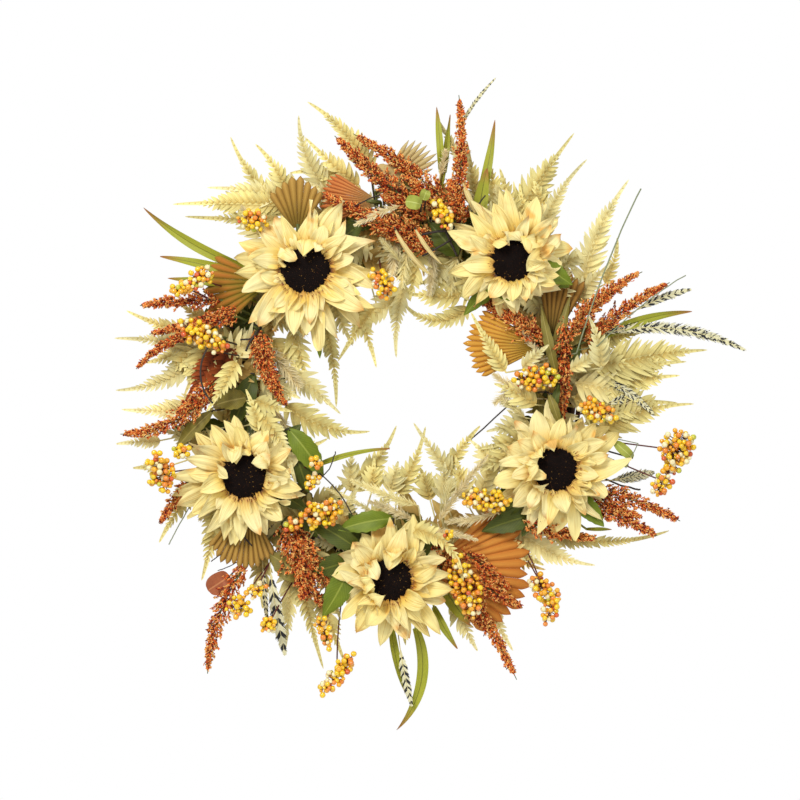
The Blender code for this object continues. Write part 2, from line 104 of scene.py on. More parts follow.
class Shape:
    """Collects sheets, tubes and copies of small solids, then makes one mesh of them."""

    def __init__(self, kind, index=0):
        self.rng = np.random.default_rng(SEEDS[kind] + index)
        self.count = 0
        self.points, self.uvs, self.tints = [], [], []
        self.quads, self.tris = [], []
        self.quad_slots, self.tri_slots = [], []

    def _store(self, points, uvs, tint, quads=None, tris=None, slot=0):
        self.points.append(points)
        self.uvs.append(uvs)
        self.tints.append(np.full(len(points), tint) if np.isscalar(tint) else tint)
        if quads is not None:
            self.quads.append(quads + self.count)
            self.quad_slots.append(np.full(len(quads), slot))
        if tris is not None:
            self.tris.append(tris + self.count)
            self.tri_slots.append(np.full(len(tris), slot))
        self.count += len(points)

    def sheet(self, grid, tint=0.5, slot=0, closed=False, v_range=(0.0, 1.0)):
        """A grid of points, rows along the piece and columns across it."""
        rows, cols = grid.shape[:2]
        index = np.arange(rows * cols).reshape(rows, cols)
        if closed:
            index = np.concatenate([index, index[:, :1]], axis=1)
        quads = np.stack([index[:-1, :-1], index[:-1, 1:], index[1:, 1:], index[1:, :-1]], axis=-1)
        v, u = np.meshgrid(np.linspace(*v_range, rows), np.linspace(0, 1, cols), indexing="ij")
        uvs = np.stack([u, v], axis=-1).reshape(-1, 2)
        self._store(grid.reshape(-1, 3), uvs, tint, quads=quads.reshape(-1, 4), slot=slot)

    def tube(self, path, radii, sides=6, tint=0.5, slot=0, v_range=(0.0, 1.0)):
        """A round stem along a path, closed at its ends."""
        radii = np.broadcast_to(radii, len(path)).astype(float)
        path = np.concatenate([path[:1], path, path[-1:]])
        radii = np.concatenate([[radii[0] * 0.05], radii, [radii[-1] * 0.05]])
        _, side, normal = frames(path)
        turn = circle(sides)
        ring = np.cos(turn)[None, :, None] * side[:, None] + np.sin(turn)[None, :, None] * normal[:, None]
        self.sheet(path[:, None] + ring * radii[:, None, None], tint, slot, closed=True, v_range=v_range)

    def copies(self, solid, places, sizes, axes, tints, slot=0):
        """Copies of a small solid: its Z axis along each of axes, its size scaled in each direction."""
        points, uvs, tris = solid
        axes = unit(axes)
        other = np.where(np.abs(axes[:, 2:3]) < 0.9, [[0.0, 0.0, 1.0]], [[1.0, 0.0, 0.0]])
        x = unit(np.cross(other, axes))
        y = np.cross(axes, x)
        spin = self.rng.uniform(0, TURN, len(places))[:, None]
        x, y = x * np.cos(spin) + y * np.sin(spin), y * np.cos(spin) - x * np.sin(spin)
        turned = np.stack([x, y, axes], axis=1)
        scaled = points[None] * sizes[:, None]
        moved = np.einsum("nki,nij->nkj", scaled, turned) + places[:, None]
        steps = np.arange(len(places))[:, None, None] * len(points)
        self._store(
            moved.reshape(-1, 3), np.tile(uvs, (len(places), 1)), np.repeat(tints, len(points)),
            tris=(tris[None] + steps).reshape(-1, 3), slot=slot,
        )

    def finish(self, name, materials, nodes=(), body="wreath", slot=None):
        """The piece itself, riding on its body and standing for its CAD nodes."""
        points = np.concatenate(self.points)
        uvs, tints = np.concatenate(self.uvs), np.concatenate(self.tints)
        quads = np.concatenate(self.quads) if self.quads else np.zeros((0, 4), int)
        tris = np.concatenate(self.tris) if self.tris else np.zeros((0, 3), int)
        corners = np.concatenate([quads.ravel(), tris.ravel()])
        mesh = bpy.data.meshes.new(name)
        mesh.vertices.add(len(points))
        mesh.vertices.foreach_set("co", points.ravel())
        mesh.loops.add(len(corners))
        mesh.loops.foreach_set("vertex_index", corners)
        mesh.polygons.add(len(quads) + len(tris))
        starts = [np.arange(len(quads)) * 4, len(quads) * 4 + np.arange(len(tris)) * 3]
        mesh.polygons.foreach_set("loop_start", np.concatenate(starts))
        slots = [np.concatenate(s) if s else np.zeros(0, int) for s in (self.quad_slots, self.tri_slots)]
        mesh.polygons.foreach_set("material_index", np.concatenate(slots).astype(np.int32))
        mesh.polygons.foreach_set("use_smooth", np.ones(len(quads) + len(tris), bool))
        layer = mesh.uv_layers.new(name="along")
        layer.data.foreach_set("uv", uvs[corners].ravel())
        mesh.attributes.new("tint", "FLOAT", "POINT").data.foreach_set("value", tints.astype(np.float32))
        mesh.update()
        for material in materials:
            mesh.materials.append(material)
        piece = bpy.data.objects.new(name, mesh)
        bpy.context.scene.collection.objects.link(piece)
        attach(piece, body)
        if nodes:
            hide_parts(*nodes)


def frames(path):
    """Direction, side and front normal at each point of a path."""
    along = unit(np.gradient(path, axis=0))
    side = np.cross(along, FRONT)
    weak = np.linalg.norm(side, axis=1) < 0.05
    side[weak] = [1.0, 0.0, 0.0]
    side = unit(side)
    return along, side, np.cross(side, along)


def on_ring(clock, radius=RING_RADIUS):
    """The point (x, z) at a clock angle and distance from the ring's centre."""
    angle = math.radians(clock)
    return np.array([CENTRE_X + radius * math.cos(angle), CENTRE_Z + radius * math.sin(angle)])


def spot(x, z):
    """A point (x, z) given in millimetres from the ring's centre."""
    return np.array([CENTRE_X + x / 1000, CENTRE_Z + z / 1000])


def route(row, depths, count):
    """A path from a row's root to its tip, in millimetres from the ring's centre, with the row's bend."""
    root, tip = spot(*row[:2]), spot(*row[2:4])
    way = tip - root
    return stem_path(root, clock_of(way), math.hypot(*way), row[4], depths, count)


def plant(shape, path, thick, slot=0):
    """The hidden stem, from the middle of the vine ring to the root of a path."""
    out = path[0] - [CENTRE_X, 0, CENTRE_Z]
    foot = on_ring(clock_of(out[[0, 2]]))
    stem = np.array([[foot[0], -STEM_TIP, foot[1]], [foot[0], -0.040, foot[1]], path[0], path[1]])
    shape.tube(stem, thick, 6, slot=slot)


def around_ring(angle, radius, depth):
    """A path round the ring's centre, from angles in radians, distances and depths."""
    return np.stack([CENTRE_X + radius * np.cos(angle), -depth, CENTRE_Z + radius * np.sin(angle)], axis=1)


def stem_path(root, heading, length, bend, depths, count):
    """An arc in the wreath's plane from its root; depths are at the root, a third of the way and the tip."""
    t = np.linspace(0, 1, count)
    half = math.radians(bend) / 2 or 1e-6
    radius = length / (2 * math.sin(half))
    turn = half * (2 * t - 1)
    along = radius * (np.sin(turn) + math.sin(half))
    side = radius * (math.cos(half) - np.cos(turn))
    angle = math.radians(heading)
    x = root[0] + along * math.cos(angle) - side * math.sin(angle)
    z = root[1] + along * math.sin(angle) + side * math.cos(angle)
    start, middle, end = depths
    depth = start + (middle - start) * smooth(t / 0.33) + (end - middle) * smooth((t - 0.33) / 0.67)
    return np.stack([x, -depth, z], axis=1)


def ribbon(path, half_widths, cols=5, fold=0.0, cup=0.0, twist=0.0, ruffle=0.0, phase=0.0):
    """A leaf-like sheet along a path: folded on its midrib, cupped, twisted or ruffled at its edges."""
    _, side, normal = frames(path)
    t = np.linspace(0, 1, len(path))
    angle = (np.radians(twist) * t)[:, None]
    cos, sin = np.cos(angle), np.sin(angle)
    side, normal = side * cos + normal * sin, normal * cos - side * sin
    u = np.linspace(-1, 1, cols)
    wide = np.asarray(half_widths)[:, None]
    height = wide * (fold * np.abs(u) + cup * u**2)
    height = height + ruffle * np.abs(u) ** 3 * np.sign(u) * np.sin(9 * t + phase)[:, None]
    return path[:, None] + side[:, None] * (wide * u)[..., None] + normal[:, None] * height[..., None]


def along_path(path, share):
    """The point at a share of a path, and the index of the path point before it."""
    at = share * (len(path) - 1)
    low = min(int(at), len(path) - 2)
    return path[low] + (path[low + 1] - path[low]) * (at - low), low


def picks(kind, table):
    """Each pick of a table: its name, its rows, a new shape and the shape's random numbers."""
    for index, (name, rows) in enumerate(table.items()):
        shape = Shape(kind, index)
        yield name, rows, shape, shape.rng


def small_sphere(steps, rings, point=0.0):
    """A round solid of radius 1; point pulls its upper end out."""
    points, uvs = [[0.0, 0.0, -1.0]], [[0.5, 0.0]]
    for ring in range(1, rings):
        tilt = math.pi * ring / rings
        wide, up = math.sin(tilt), -math.cos(tilt)
        if up > 0:
            wide *= 1 - point * up
        for step in range(steps):
            turn = TURN * (step + 0.5 * (ring % 2)) / steps
            points.append([wide * math.cos(turn), wide * math.sin(turn), up])
            uvs.append([step / steps, (up + 1) / 2])
    points.append([0.0, 0.0, 1.0])
    uvs.append([0.5, 1.0])
    tris = []
    top = len(points) - 1
    for step in range(steps):
        after = (step + 1) % steps
        tris.append([0, 1 + after, 1 + step])
        tris.append([top, top - steps + step, top - steps + after])
        for ring in range(rings - 2):
            a, b = 1 + ring * steps + step, 1 + ring * steps + after
            c, d = a + steps, b + steps
            tris += [[a, b, c], [b, d, c]]
    return np.array(points), np.array(uvs), np.array(tris)


BERRY = small_sphere(9, 7)
GRAIN = small_sphere(4, 3, point=0.3)


# ---------------------------------------------------------------- materials


def tone(colour):
    """A display colour, 0 to 1, as the linear colour that the shaders take; one number is a mask's level."""
    if np.isscalar(colour):
        return (colour, colour, colour, 1.0)
    return tuple(c / 12.92 if c <= 0.04045 else ((c + 0.055) / 1.055) ** 2.4 for c in colour) + (1.0,)


class Paint:
    """A Principled material and the nodes that feed it."""

    def __init__(self, name, roughness, **sockets):
        self.material = bpy.data.materials.new(name)
        self.material.use_nodes = True
        self.tree = self.material.node_tree
        self.shader = self.tree.nodes["Principled BSDF"]
        self.shader.inputs["Roughness"].default_value = roughness
        for socket, value in sockets.items():
            self.shader.inputs[socket.replace("_", " ")].default_value = value
        self.uv = self.add("ShaderNodeUVMap", uv_map="along").outputs["UV"]
        parts = self.add("ShaderNodeSeparateXYZ")
        self.feed(parts.inputs[0], self.uv)
        self.u, self.v = parts.outputs["X"], parts.outputs["Y"]
        self.tint = self.add("ShaderNodeAttribute", attribute_name="tint").outputs["Fac"]
        self.place = self.add("ShaderNodeTexCoord").outputs["Object"]

    def add(self, kind, **settings):
        node = self.tree.nodes.new(kind)
        for key, value in settings.items():
            setattr(node, key, value)
        return node

    def feed(self, socket, value):
        if isinstance(value, bpy.types.NodeSocket):
            self.tree.links.new(value, socket)
        else:
            socket.default_value = value

    def maths(self, operation, first, second=0.0):
        node = self.add("ShaderNodeMath", operation=operation)
        for socket, value in zip(node.inputs, (first, second)):
            self.feed(socket, value)
        return node.outputs[0]

    def times(self, first, second):
        return self.maths("MULTIPLY", first, second)

    def minus(self, first, second):
        return self.maths("SUBTRACT", first, second)

    def above(self, value, limit):
        return self.maths("GREATER_THAN", value, limit)

    def grain(self, across, along, detail=3.0, offset=37.0):
        """Noise that runs with the piece, different on each leaf."""
        join = self.add("ShaderNodeCombineXYZ")
        for socket, value, scale in zip(join.inputs, (self.u, self.v, self.tint), (across, along, offset)):
            self.feed(socket, self.times(value, scale))
        return self.noise(join.outputs[0], 1.0, detail)

    def noise(self, vector, scale, detail=3.0):
        node = self.add("ShaderNodeTexNoise")
        self.feed(node.inputs["Vector"], vector)
        self.feed(node.inputs["Scale"], scale)
        self.feed(node.inputs["Detail"], detail)
        return node.outputs["Fac"]

    def ramp(self, factor, *stops, sharp=False):
        node = self.add("ShaderNodeValToRGB")
        node.color_ramp.interpolation = "CONSTANT" if sharp else "LINEAR"
        elements = node.color_ramp.elements
        while len(elements) < len(stops):
            elements.new(0.5)
        for element, (place, colour) in zip(elements, stops):
            element.position = place
            element.color = tone(colour)
        self.feed(node.inputs["Fac"], factor)
        return node.outputs["Color"]

    def mix(self, factor, first, second, blend="MIX"):
        node = self.add("ShaderNodeMix", data_type="RGBA", blend_type=blend)
        self.feed(node.inputs["Factor"], factor)
        for socket, colour in ((node.inputs[6], first), (node.inputs[7], second)):
            self.feed(socket, tone(colour) if isinstance(colour, tuple) else colour)
        return node.outputs[2]

    def shade(self, colour, amount, low=0.7, high=1.15):
        """The colour made darker or lighter by a noise of 0 to 1."""
        span = self.add("ShaderNodeMapRange")
        self.feed(span.inputs["Value"], amount)
        for key, value in (("From Min", 0.3), ("From Max", 0.7), ("To Min", low), ("To Max", high)):
            self.feed(span.inputs[key], value)
        tinted = self.add("ShaderNodeVectorMath", operation="SCALE")
        self.feed(tinted.inputs[0], colour)
        self.feed(tinted.inputs["Scale"], span.outputs[0])
        return tinted.outputs[0]

    def done(self, colour, height=None, strength=0.3, distance=0.0005, roughness=None):
        self.feed(self.shader.inputs["Base Color"], colour)
        if height is not None:
            bump = self.add("ShaderNodeBump")
            self.feed(bump.inputs["Strength"], strength)
            self.feed(bump.inputs["Distance"], distance)
            self.feed(bump.inputs["Height"], height)
            self.feed(self.shader.inputs["Normal"], bump.outputs[0])
        if roughness is not None:
            self.feed(self.shader.inputs["Roughness"], roughness)
        return self.material


def petal_paint():
    """Cream cloth: golden at the base, fine ribs with painted shade in their creases, and orange tips and
    spots on some petals.
    """
    p = Paint("petal_cloth", 0.78, Sheen_Weight=0.12, Specular_IOR_Level=0.22)
    length = p.ramp(p.v, (0.0, (0.55, 0.30, 0.08)), (0.20, (0.83, 0.56, 0.16)),
                    (0.42, (0.95, 0.81, 0.38)), (0.72, (0.985, 0.915, 0.60)), (1.0, (0.98, 0.90, 0.56)))
    faded = p.times(p.maths("FRACT", p.times(p.tint, 3.7)), 0.50)
    length = p.mix(p.times(faded, p.v), length, (0.985, 0.955, 0.79))
    ribs = p.grain(18.0, 1.6)
    # Painted shade: where the rib noise is low, in the creases of the bump, the colour is mixed towards a
    # darker gold.
    crease_shade = p.ramp(ribs, (0.32, 0.55), (0.44, 0.0))
    length = p.mix(crease_shade, length, (0.88, 0.66, 0.26))
    blotch = p.grain(2.5, 3.0, 4.0, 11.0)
    tip = p.times(p.minus(p.v, 0.86), 7.0)
    chosen = p.above(p.maths("FRACT", p.times(p.tint, 7.3)), 0.74)
    tipped = p.times(p.maths("MAXIMUM", tip, 0.0), chosen)
    colour = p.mix(p.times(tipped, 0.8), length, (0.90, 0.60, 0.20))
    fleck = p.ramp(p.noise(p.place, 42.0, 1.0), (0.66, 0.0), (0.74, 0.7))
    colour = p.mix(fleck, colour, (0.93, 0.66, 0.22))
    # Painted shade and highlight: the rib noise also darkens the creases and slightly lightens the rib tops;
    # the blotch noise is a random tone.
    colour = p.shade(p.shade(colour, ribs, 0.88, 1.04), blotch, 0.88, 1.03)
    return p.done(colour, ribs, 0.45, 0.0007)


def seed_paint():
    p = Paint("seed_pile", 0.9, Specular_IOR_Level=0.2)
    fuzz = p.noise(p.place, 900.0, 4.0)
    colour = p.ramp(p.tint, (0.0, (0.07, 0.03, 0.02)), (0.70, (0.12, 0.06, 0.03)),
                    (0.93, (0.24, 0.12, 0.05)), (0.985, (0.60, 0.44, 0.20)))
    return p.done(p.shade(colour, fuzz, 0.6, 1.2), fuzz, 0.5, 0.0004)


def fringe_paint():
    p = Paint("seed_fringe", 0.8, Sheen_Weight=0.2)
    colour = p.ramp(p.v, (0.0, (0.24, 0.12, 0.05)), (0.45, (0.52, 0.28, 0.10)), (1.0, (0.80, 0.52, 0.20)))
    hair = p.grain(3.0, 8.0)
    return p.done(p.shade(colour, hair, 0.6, 1.2), hair, 0.3)


def leaf_paint(name, light, dark, vein, tip=None, gloss=0.5):
    """A leaf with a paler midrib and side veins."""
    p = Paint(name, gloss, Sheen_Weight=0.05, Specular_IOR_Level=0.28)
    across = p.maths("ABSOLUTE", p.minus(p.u, 0.5))
    wave = p.maths("SINE", p.times(p.minus(p.v, p.times(across, 0.55)), 95.0))
    side_vein = p.above(wave, 0.88)
    midrib = p.maths("LESS_THAN", across, 0.035)
    blotch = p.grain(3.0, 4.0, 5.0)
    colour = p.mix(blotch, dark, light)
    if tip:
        colour = p.mix(p.ramp(p.v, (0.72, 0.0), (1.0, 1.0)), colour, tip)
    veined = p.maths("MAXIMUM", midrib, p.times(side_vein, 0.35))
    colour = p.mix(veined, colour, vein)
    fine = p.grain(30.0, 60.0, 2.0)
    return p.done(p.shade(colour, fine, 0.88, 1.08), p.minus(blotch, veined), 0.3)


def fern_paint(name, base, middle, tip):
    """Dried frond: pale straw with darker leaflet roots and a grain along each leaflet."""
    p = Paint(name, 0.8, Sheen_Weight=0.08, Specular_IOR_Level=0.2)
    colour = p.ramp(p.v, (0.0, base), (0.45, middle), (1.0, tip))
    fibre = p.grain(9.0, 2.0, 3.0)
    blotch = p.noise(p.place, 55.0, 3.0)
    colour = p.shade(p.shade(colour, fibre, 0.85, 1.06), blotch, 0.84, 1.10)
    colour = p.shade(colour, p.tint, 0.86, 1.10)
    return p.done(colour, fibre, 0.4, 0.0004)


def grain_paint():
    p = Paint("grain_husk", 0.7, Specular_IOR_Level=0.25)
    # The tint ramp runs from deep maroon to pale orange: partly the grains' own mixed colours, partly painted
    # shadow at its dark end and painted highlight at its light end.
    colour = p.ramp(p.tint, (0.0, (0.36, 0.09, 0.12)), (0.28, (0.64, 0.20, 0.12)),
                    (0.52, (0.94, 0.42, 0.17)), (0.76, (1.0, 0.61, 0.26)), (1.0, (1.0, 0.80, 0.46)))
    ridge = p.grain(6.0, 1.0)
    return p.done(p.shade(colour, ridge, 0.75, 1.15), ridge, 0.4, 0.0003)


def berry_paint():
    p = Paint("berry_lacquer", 0.22, Coat_Weight=0.6, Coat_Roughness=0.08)
    colour = p.ramp(p.tint, (0.0, (0.98, 0.82, 0.14)), (0.38, (0.97, 0.71, 0.16)),
                    (0.60, (0.93, 0.56, 0.18)), (0.76, (0.97, 0.93, 0.72)), (0.93, (0.84, 0.36, 0.14)),
                    (0.98, (0.80, 0.80, 0.25)), sharp=True)
    blush = p.noise(p.place, 260.0, 2.0)
    colour = p.mix(p.times(p.above(blush, 0.60), 0.25), colour, (0.90, 0.50, 0.15))
    colour = p.mix(p.above(p.v, 0.985), colour, (0.50, 0.28, 0.12))
    return p.done(p.shade(colour, p.noise(p.place, 700.0), 0.92, 1.06))


def stem_paint(name, dark, light, roughness=0.6):
    p = Paint(name, roughness)
    fleck = p.noise(p.place, 420.0, 3.0)
    return p.done(p.mix(fleck, dark, light), fleck, 0.3, 0.0003)


def fan_paint(name, hub, middle, rim, valley):
    """Pleated palm: painted shade in the valleys, streaked along each pleat."""
    p = Paint(name, 0.72, Sheen_Weight=0.08, Specular_IOR_Level=0.22)
    colour = p.ramp(p.v, (0.0, hub), (0.4, middle), (0.9, rim), (1.0, valley))
    streak = p.grain(60.0, 1.2, 3.0)
    # Painted shade: the tint, high at each pleat's valley edges and low on its crest, mixes in the darker
    # valley colour.
    colour = p.mix(p.times(p.tint, 0.75), colour, valley)
    return p.done(p.shade(colour, streak, 0.82, 1.10), streak, 0.3, 0.0004)


def feather_paint():
    """Cream barbs with uneven black bars."""
    p = Paint("feather_barred", 0.7, Sheen_Weight=0.2)
    wobble = p.times(p.noise(p.place, 260.0, 4.0), p.times(p.tint, 16.0))
    closeness = p.maths("ADD", p.times(p.tint, 110.0), 45.0)
    bars = p.maths("SINE", p.maths("ADD", p.times(p.v, closeness), wobble))
    colour = p.mix(p.above(bars, 0.25), (0.88, 0.86, 0.70), (0.10, 0.10, 0.11))
    return p.done(p.shade(colour, p.grain(3.0, 200.0), 0.8, 1.1))


def bark_paint():
    p = Paint("vine_bark", 0.85)
    strip = p.grain(4.0, 40.0, 6.0)
    colour = p.ramp(strip, (0.25, (0.13, 0.08, 0.06)), (0.5, (0.24, 0.15, 0.10)), (0.75, (0.40, 0.28, 0.20)))
    return p.done(p.shade(colour, p.tint, 0.6, 1.3), strip, 0.6, 0.0008)


def steel_paint():
    p = Paint("wire_steel", 0.35, Metallic=1.0)
    rub = p.noise(p.place, 900.0, 4.0)
    colour = p.mix(rub, (0.45, 0.44, 0.43), (0.62, 0.61, 0.60))
    return p.done(colour, rub, 0.15, 0.0002, roughness=p.maths("ADD", p.times(rub, 0.25), 0.22))


PETAL = petal_paint()
SEED = seed_paint()
FRINGE = fringe_paint()
GREEN = leaf_paint("leaf_green", (0.50, 0.56, 0.12), (0.32, 0.39, 0.06), (0.56, 0.60, 0.22))
DARK_GREEN = leaf_paint("leaf_dark", (0.36, 0.40, 0.09), (0.20, 0.24, 0.05), (0.42, 0.44, 0.15))
BLADE = leaf_paint("leaf_blade", (0.70, 0.70, 0.22), (0.56, 0.58, 0.14), (0.44, 0.44, 0.12),
                   tip=(0.64, 0.36, 0.18))
STRAW_LEAF = leaf_paint("leaf_straw", (0.88, 0.80, 0.54), (0.76, 0.65, 0.38), (0.92, 0.86, 0.64))
RUST_LEAF = leaf_paint("leaf_rust", (0.72, 0.42, 0.26), (0.54, 0.26, 0.15), (0.76, 0.50, 0.32))
OLIVE_LEAF = leaf_paint("leaf_olive", (0.58, 0.54, 0.22), (0.38, 0.32, 0.12), (0.64, 0.58, 0.30))
ROUND_LEAF = leaf_paint("leaf_round", (0.68, 0.70, 0.30), (0.54, 0.58, 0.20), (0.74, 0.76, 0.42))
STRAW = fern_paint("fern_straw", (0.78, 0.66, 0.34), (0.90, 0.84, 0.54), (0.94, 0.89, 0.60))
CREAM = fern_paint("fern_cream", (0.84, 0.75, 0.46), (0.93, 0.88, 0.62), (0.95, 0.91, 0.68))
PAMPAS = fern_paint("fern_pampas", (0.80, 0.70, 0.46), (0.90, 0.83, 0.62), (0.94, 0.89, 0.72))
BROWN_FERN = fern_paint("fern_brown", (0.62, 0.47, 0.20), (0.78, 0.64, 0.34), (0.86, 0.75, 0.46))
RUST_FERN = fern_paint("fern_rust", (0.36, 0.16, 0.07), (0.58, 0.27, 0.11), (0.70, 0.36, 0.16))
GRAIN_HUSK = grain_paint()
BERRY_SKIN = berry_paint()
MAROON_STEM = stem_paint("stem_maroon", (0.25, 0.08, 0.06), (0.45, 0.18, 0.12))
GREEN_STEM = stem_paint("stem_green", (0.28, 0.32, 0.12), (0.44, 0.46, 0.20))
DARK_STEM = stem_paint("stem_dark", (0.10, 0.08, 0.07), (0.24, 0.18, 0.14))
GREY_STEM = stem_paint("stem_grey", (0.42, 0.46, 0.34), (0.60, 0.63, 0.48))
# Fan palms: colour at the hub, half way and at the rim, and the darker colour of the tips and of the painted
# shade in the valleys.
FAN_PAINTS = {
    name: fan_paint(f"palm_{name.lower()}", *colours)
    for name, colours in {
        "ORANGE": ((0.66, 0.42, 0.18), (0.86, 0.58, 0.24), (0.86, 0.54, 0.20), (0.68, 0.38, 0.12)),
        "RED": ((0.72, 0.60, 0.36), (0.86, 0.56, 0.30), (0.86, 0.44, 0.20), (0.66, 0.38, 0.18)),
        "OCHRE": ((0.66, 0.58, 0.20), (0.90, 0.68, 0.28), (0.90, 0.62, 0.20), (0.74, 0.54, 0.18)),
        "BROWN": ((0.40, 0.36, 0.12), (0.64, 0.46, 0.18), (0.70, 0.50, 0.20), (0.36, 0.26, 0.09)),
        "GREEN": ((0.52, 0.54, 0.16), (0.74, 0.45, 0.16), (0.76, 0.46, 0.18), (0.44, 0.46, 0.12)),
        "TAN": ((0.56, 0.48, 0.18), (0.76, 0.60, 0.28), (0.78, 0.60, 0.30), (0.50, 0.37, 0.13)),
        "BEIGE": ((0.68, 0.58, 0.36), (0.80, 0.70, 0.46), (0.86, 0.78, 0.56), (0.66, 0.56, 0.34)),
    }.items()
}
FEATHER = feather_paint()
BARK = bark_paint()
STEEL = steel_paint()


# ---------------------------------------------------------------- sunflowers

# Name, clock angle and distance of the head, petal length from the axis, side that has the longest petals
# and by how much, seed disc radius, side on which petals curl over the seeds and how far round (cosine),
# and the leaves as (heading, length, width, dark or not).
SUNFLOWERS = (
    ("upper_left", 128, 0.168, 0.080, (330, 0.05), 0.0275, (112, 0.50),
     ((279, 0.097, 0.018, 0), (40, 0.085, 0.030, 1), (350, 0.074, 0.020, 0))),
    ("upper_right", 49.5, 0.188, 0.068, (145, 0.18), 0.0255, (62, 0.20),
     ((335, 0.068, 0.024, 0), (228, 0.080, 0.022, 0))),
    ("right", 333.5, 0.186, 0.071, (330, 0.06), 0.0255, (165, 0.2),
     ((310, 0.078, 0.026, 0), (245, 0.082, 0.030, 1))),
    ("bottom", 266.5, 0.203, 0.068, (330, 0.13), 0.0250, (150, 0.05),
     ((122, 0.084, 0.032, 1), (196, 0.078, 0.030, 1), (45, 0.074, 0.026, 1))),
    ("left", 208, 0.192, 0.070, (235, 0.17), 0.0255, (100, 0.35),
     ((42, 0.082, 0.032, 1), (330, 0.078, 0.026, 1))),
)


def petal(angle, start, middle, end, width, sway=0.0, cup=0.2, twist=0.0, ruffle=0.0, phase=0.0, point=2.0):
    """One petal; start, middle and end are (distance from the head's axis, height in front of its base)."""
    t = np.linspace(0, 1, 13)[:, None]
    bow = (1 - t) ** 2 * np.array(start) + 2 * t * (1 - t) * np.array(middle) + t**2 * np.array(end)
    outward = np.array([math.cos(angle), 0.0, math.sin(angle)])
    across = np.array([-math.sin(angle), 0.0, math.cos(angle)])
    spine = bow[:, :1] * outward + bow[:, 1:] * FRONT + sway * t**2 * across
    along = unit(np.gradient(spine, axis=0))
    side = unit(across - (along @ across)[:, None] * along)
    normal = np.cross(along, side)
    turn = np.radians(twist) * t
    side, normal = side * np.cos(turn) + normal * np.sin(turn), normal * np.cos(turn) - side * np.sin(turn)
    s = t[:, 0]
    taper = (1 - np.clip((s - 0.42) / 0.58, 0, 1) ** point) ** 0.85
    wide = np.maximum(width / 2 * (0.34 + 0.66 * smooth(s / 0.42)) * taper, 0.0002)[:, None]
    u = np.linspace(-1, 1, 11)
    ribs = 0.00075 * np.cos(2.5 * math.pi * u) * np.sin(math.pi * np.clip(s * 1.05, 0, 1))[:, None]
    edge = ruffle * np.abs(u) ** 2.0 * np.sin(9 * s[:, None] + phase + 1.5 * np.sign(u)) * (0.4 + s[:, None])
    height = wide * cup * u**2 + ribs + edge
    return spine[:, None] + side[:, None] * (wide * u)[..., None] + normal[:, None] * height[..., None]


# Whorls from the back: petals, share of the full length, distance of the root from the axis, range of the
# height half way and at the tip, width and cup.
WHORLS = (
    (15, 1.00, 0.012, (-0.002, 0.003), (-0.016, 0.002), 0.0210, 0.15),
    (14, 0.97, 0.014, (0.003, 0.009), (-0.010, 0.009), 0.0208, 0.25),
    (12, 0.86, 0.018, (0.006, 0.014), (-0.005, 0.014), 0.0198, 0.35),
    (9, 0.72, 0.022, (0.007, 0.014), (0.003, 0.022), 0.0182, 0.40),
)
INNER_PETALS = 14
SEED_COUNT = 620
HAIR_COUNT = 190
SEPAL_COUNT = 14
# The seed disc's dome: how far its rim stands in front of the petals' base, and how much further its top.
RIM_LIFT = 0.003
DOME_RISE = 0.008


def build_petals(index, name, place, reach, long_side, longer, disc, curl_side, curl_from):
    petals = Shape("petals", index)
    rng = petals.rng
    for layer, (count, share, root, lift, tip, width, cup) in enumerate(WHORLS):
        for k in range(count):
            angle = TURN * (k + 0.5 * (layer % 2) + 0.13 * layer) / count + rng.normal(0, 0.12)
            far = 1 + longer * math.cos(angle - math.radians(long_side))
            far = reach * share * far * rng.uniform(0.84, 1.08)
            curve = petal(
                angle, (root, 0.001 + 0.0012 * layer), (far * rng.uniform(0.48, 0.62), rng.uniform(*lift)),
                (far, rng.uniform(*tip)), width * rng.uniform(0.72, 1.20), sway=rng.normal(0, 0.010),
                cup=cup * rng.uniform(-1.1, 1.7), twist=rng.normal(0, 32), ruffle=rng.uniform(0.0004, 0.0040),
                phase=rng.uniform(0, 6), point=rng.uniform(1.7, 4.0),
            )
            petals.sheet(curve + place, rng.uniform(), v_range=(0.05 * layer, 1.0))
    for k in range(INNER_PETALS):
        angle = TURN * k / INNER_PETALS + rng.normal(0, 0.14)
        if math.cos(angle - math.radians(curl_side)) > curl_from:
            middle = (disc * rng.uniform(1.30, 1.55), 0.026)
            end = (disc * rng.uniform(0.40, 0.85), 0.019 + rng.uniform(-0.003, 0.007))
            wide = rng.uniform(0.016, 0.024)
        else:
            middle = (disc * 1.30, 0.009)
            end = (disc * rng.uniform(1.5, 2.0), rng.uniform(0.006, 0.014))
            wide = rng.uniform(0.013, 0.018)
        curve = petal(
            angle, (disc * 0.98, 0.002), middle, end, wide, sway=rng.normal(0, 0.006),
            cup=rng.uniform(-0.5, 0.8), twist=rng.normal(0, 30), ruffle=rng.uniform(0.0012, 0.0034),
            phase=rng.uniform(0, 6), point=rng.uniform(2.0, 3.6),
        )
        petals.sheet(curve + place, rng.uniform(), v_range=(0.14, 0.95))
    petals.finish(f"sunflower_{name}_petals", [PETAL], [f"sunflower_{name}_petals"], slot="petal")


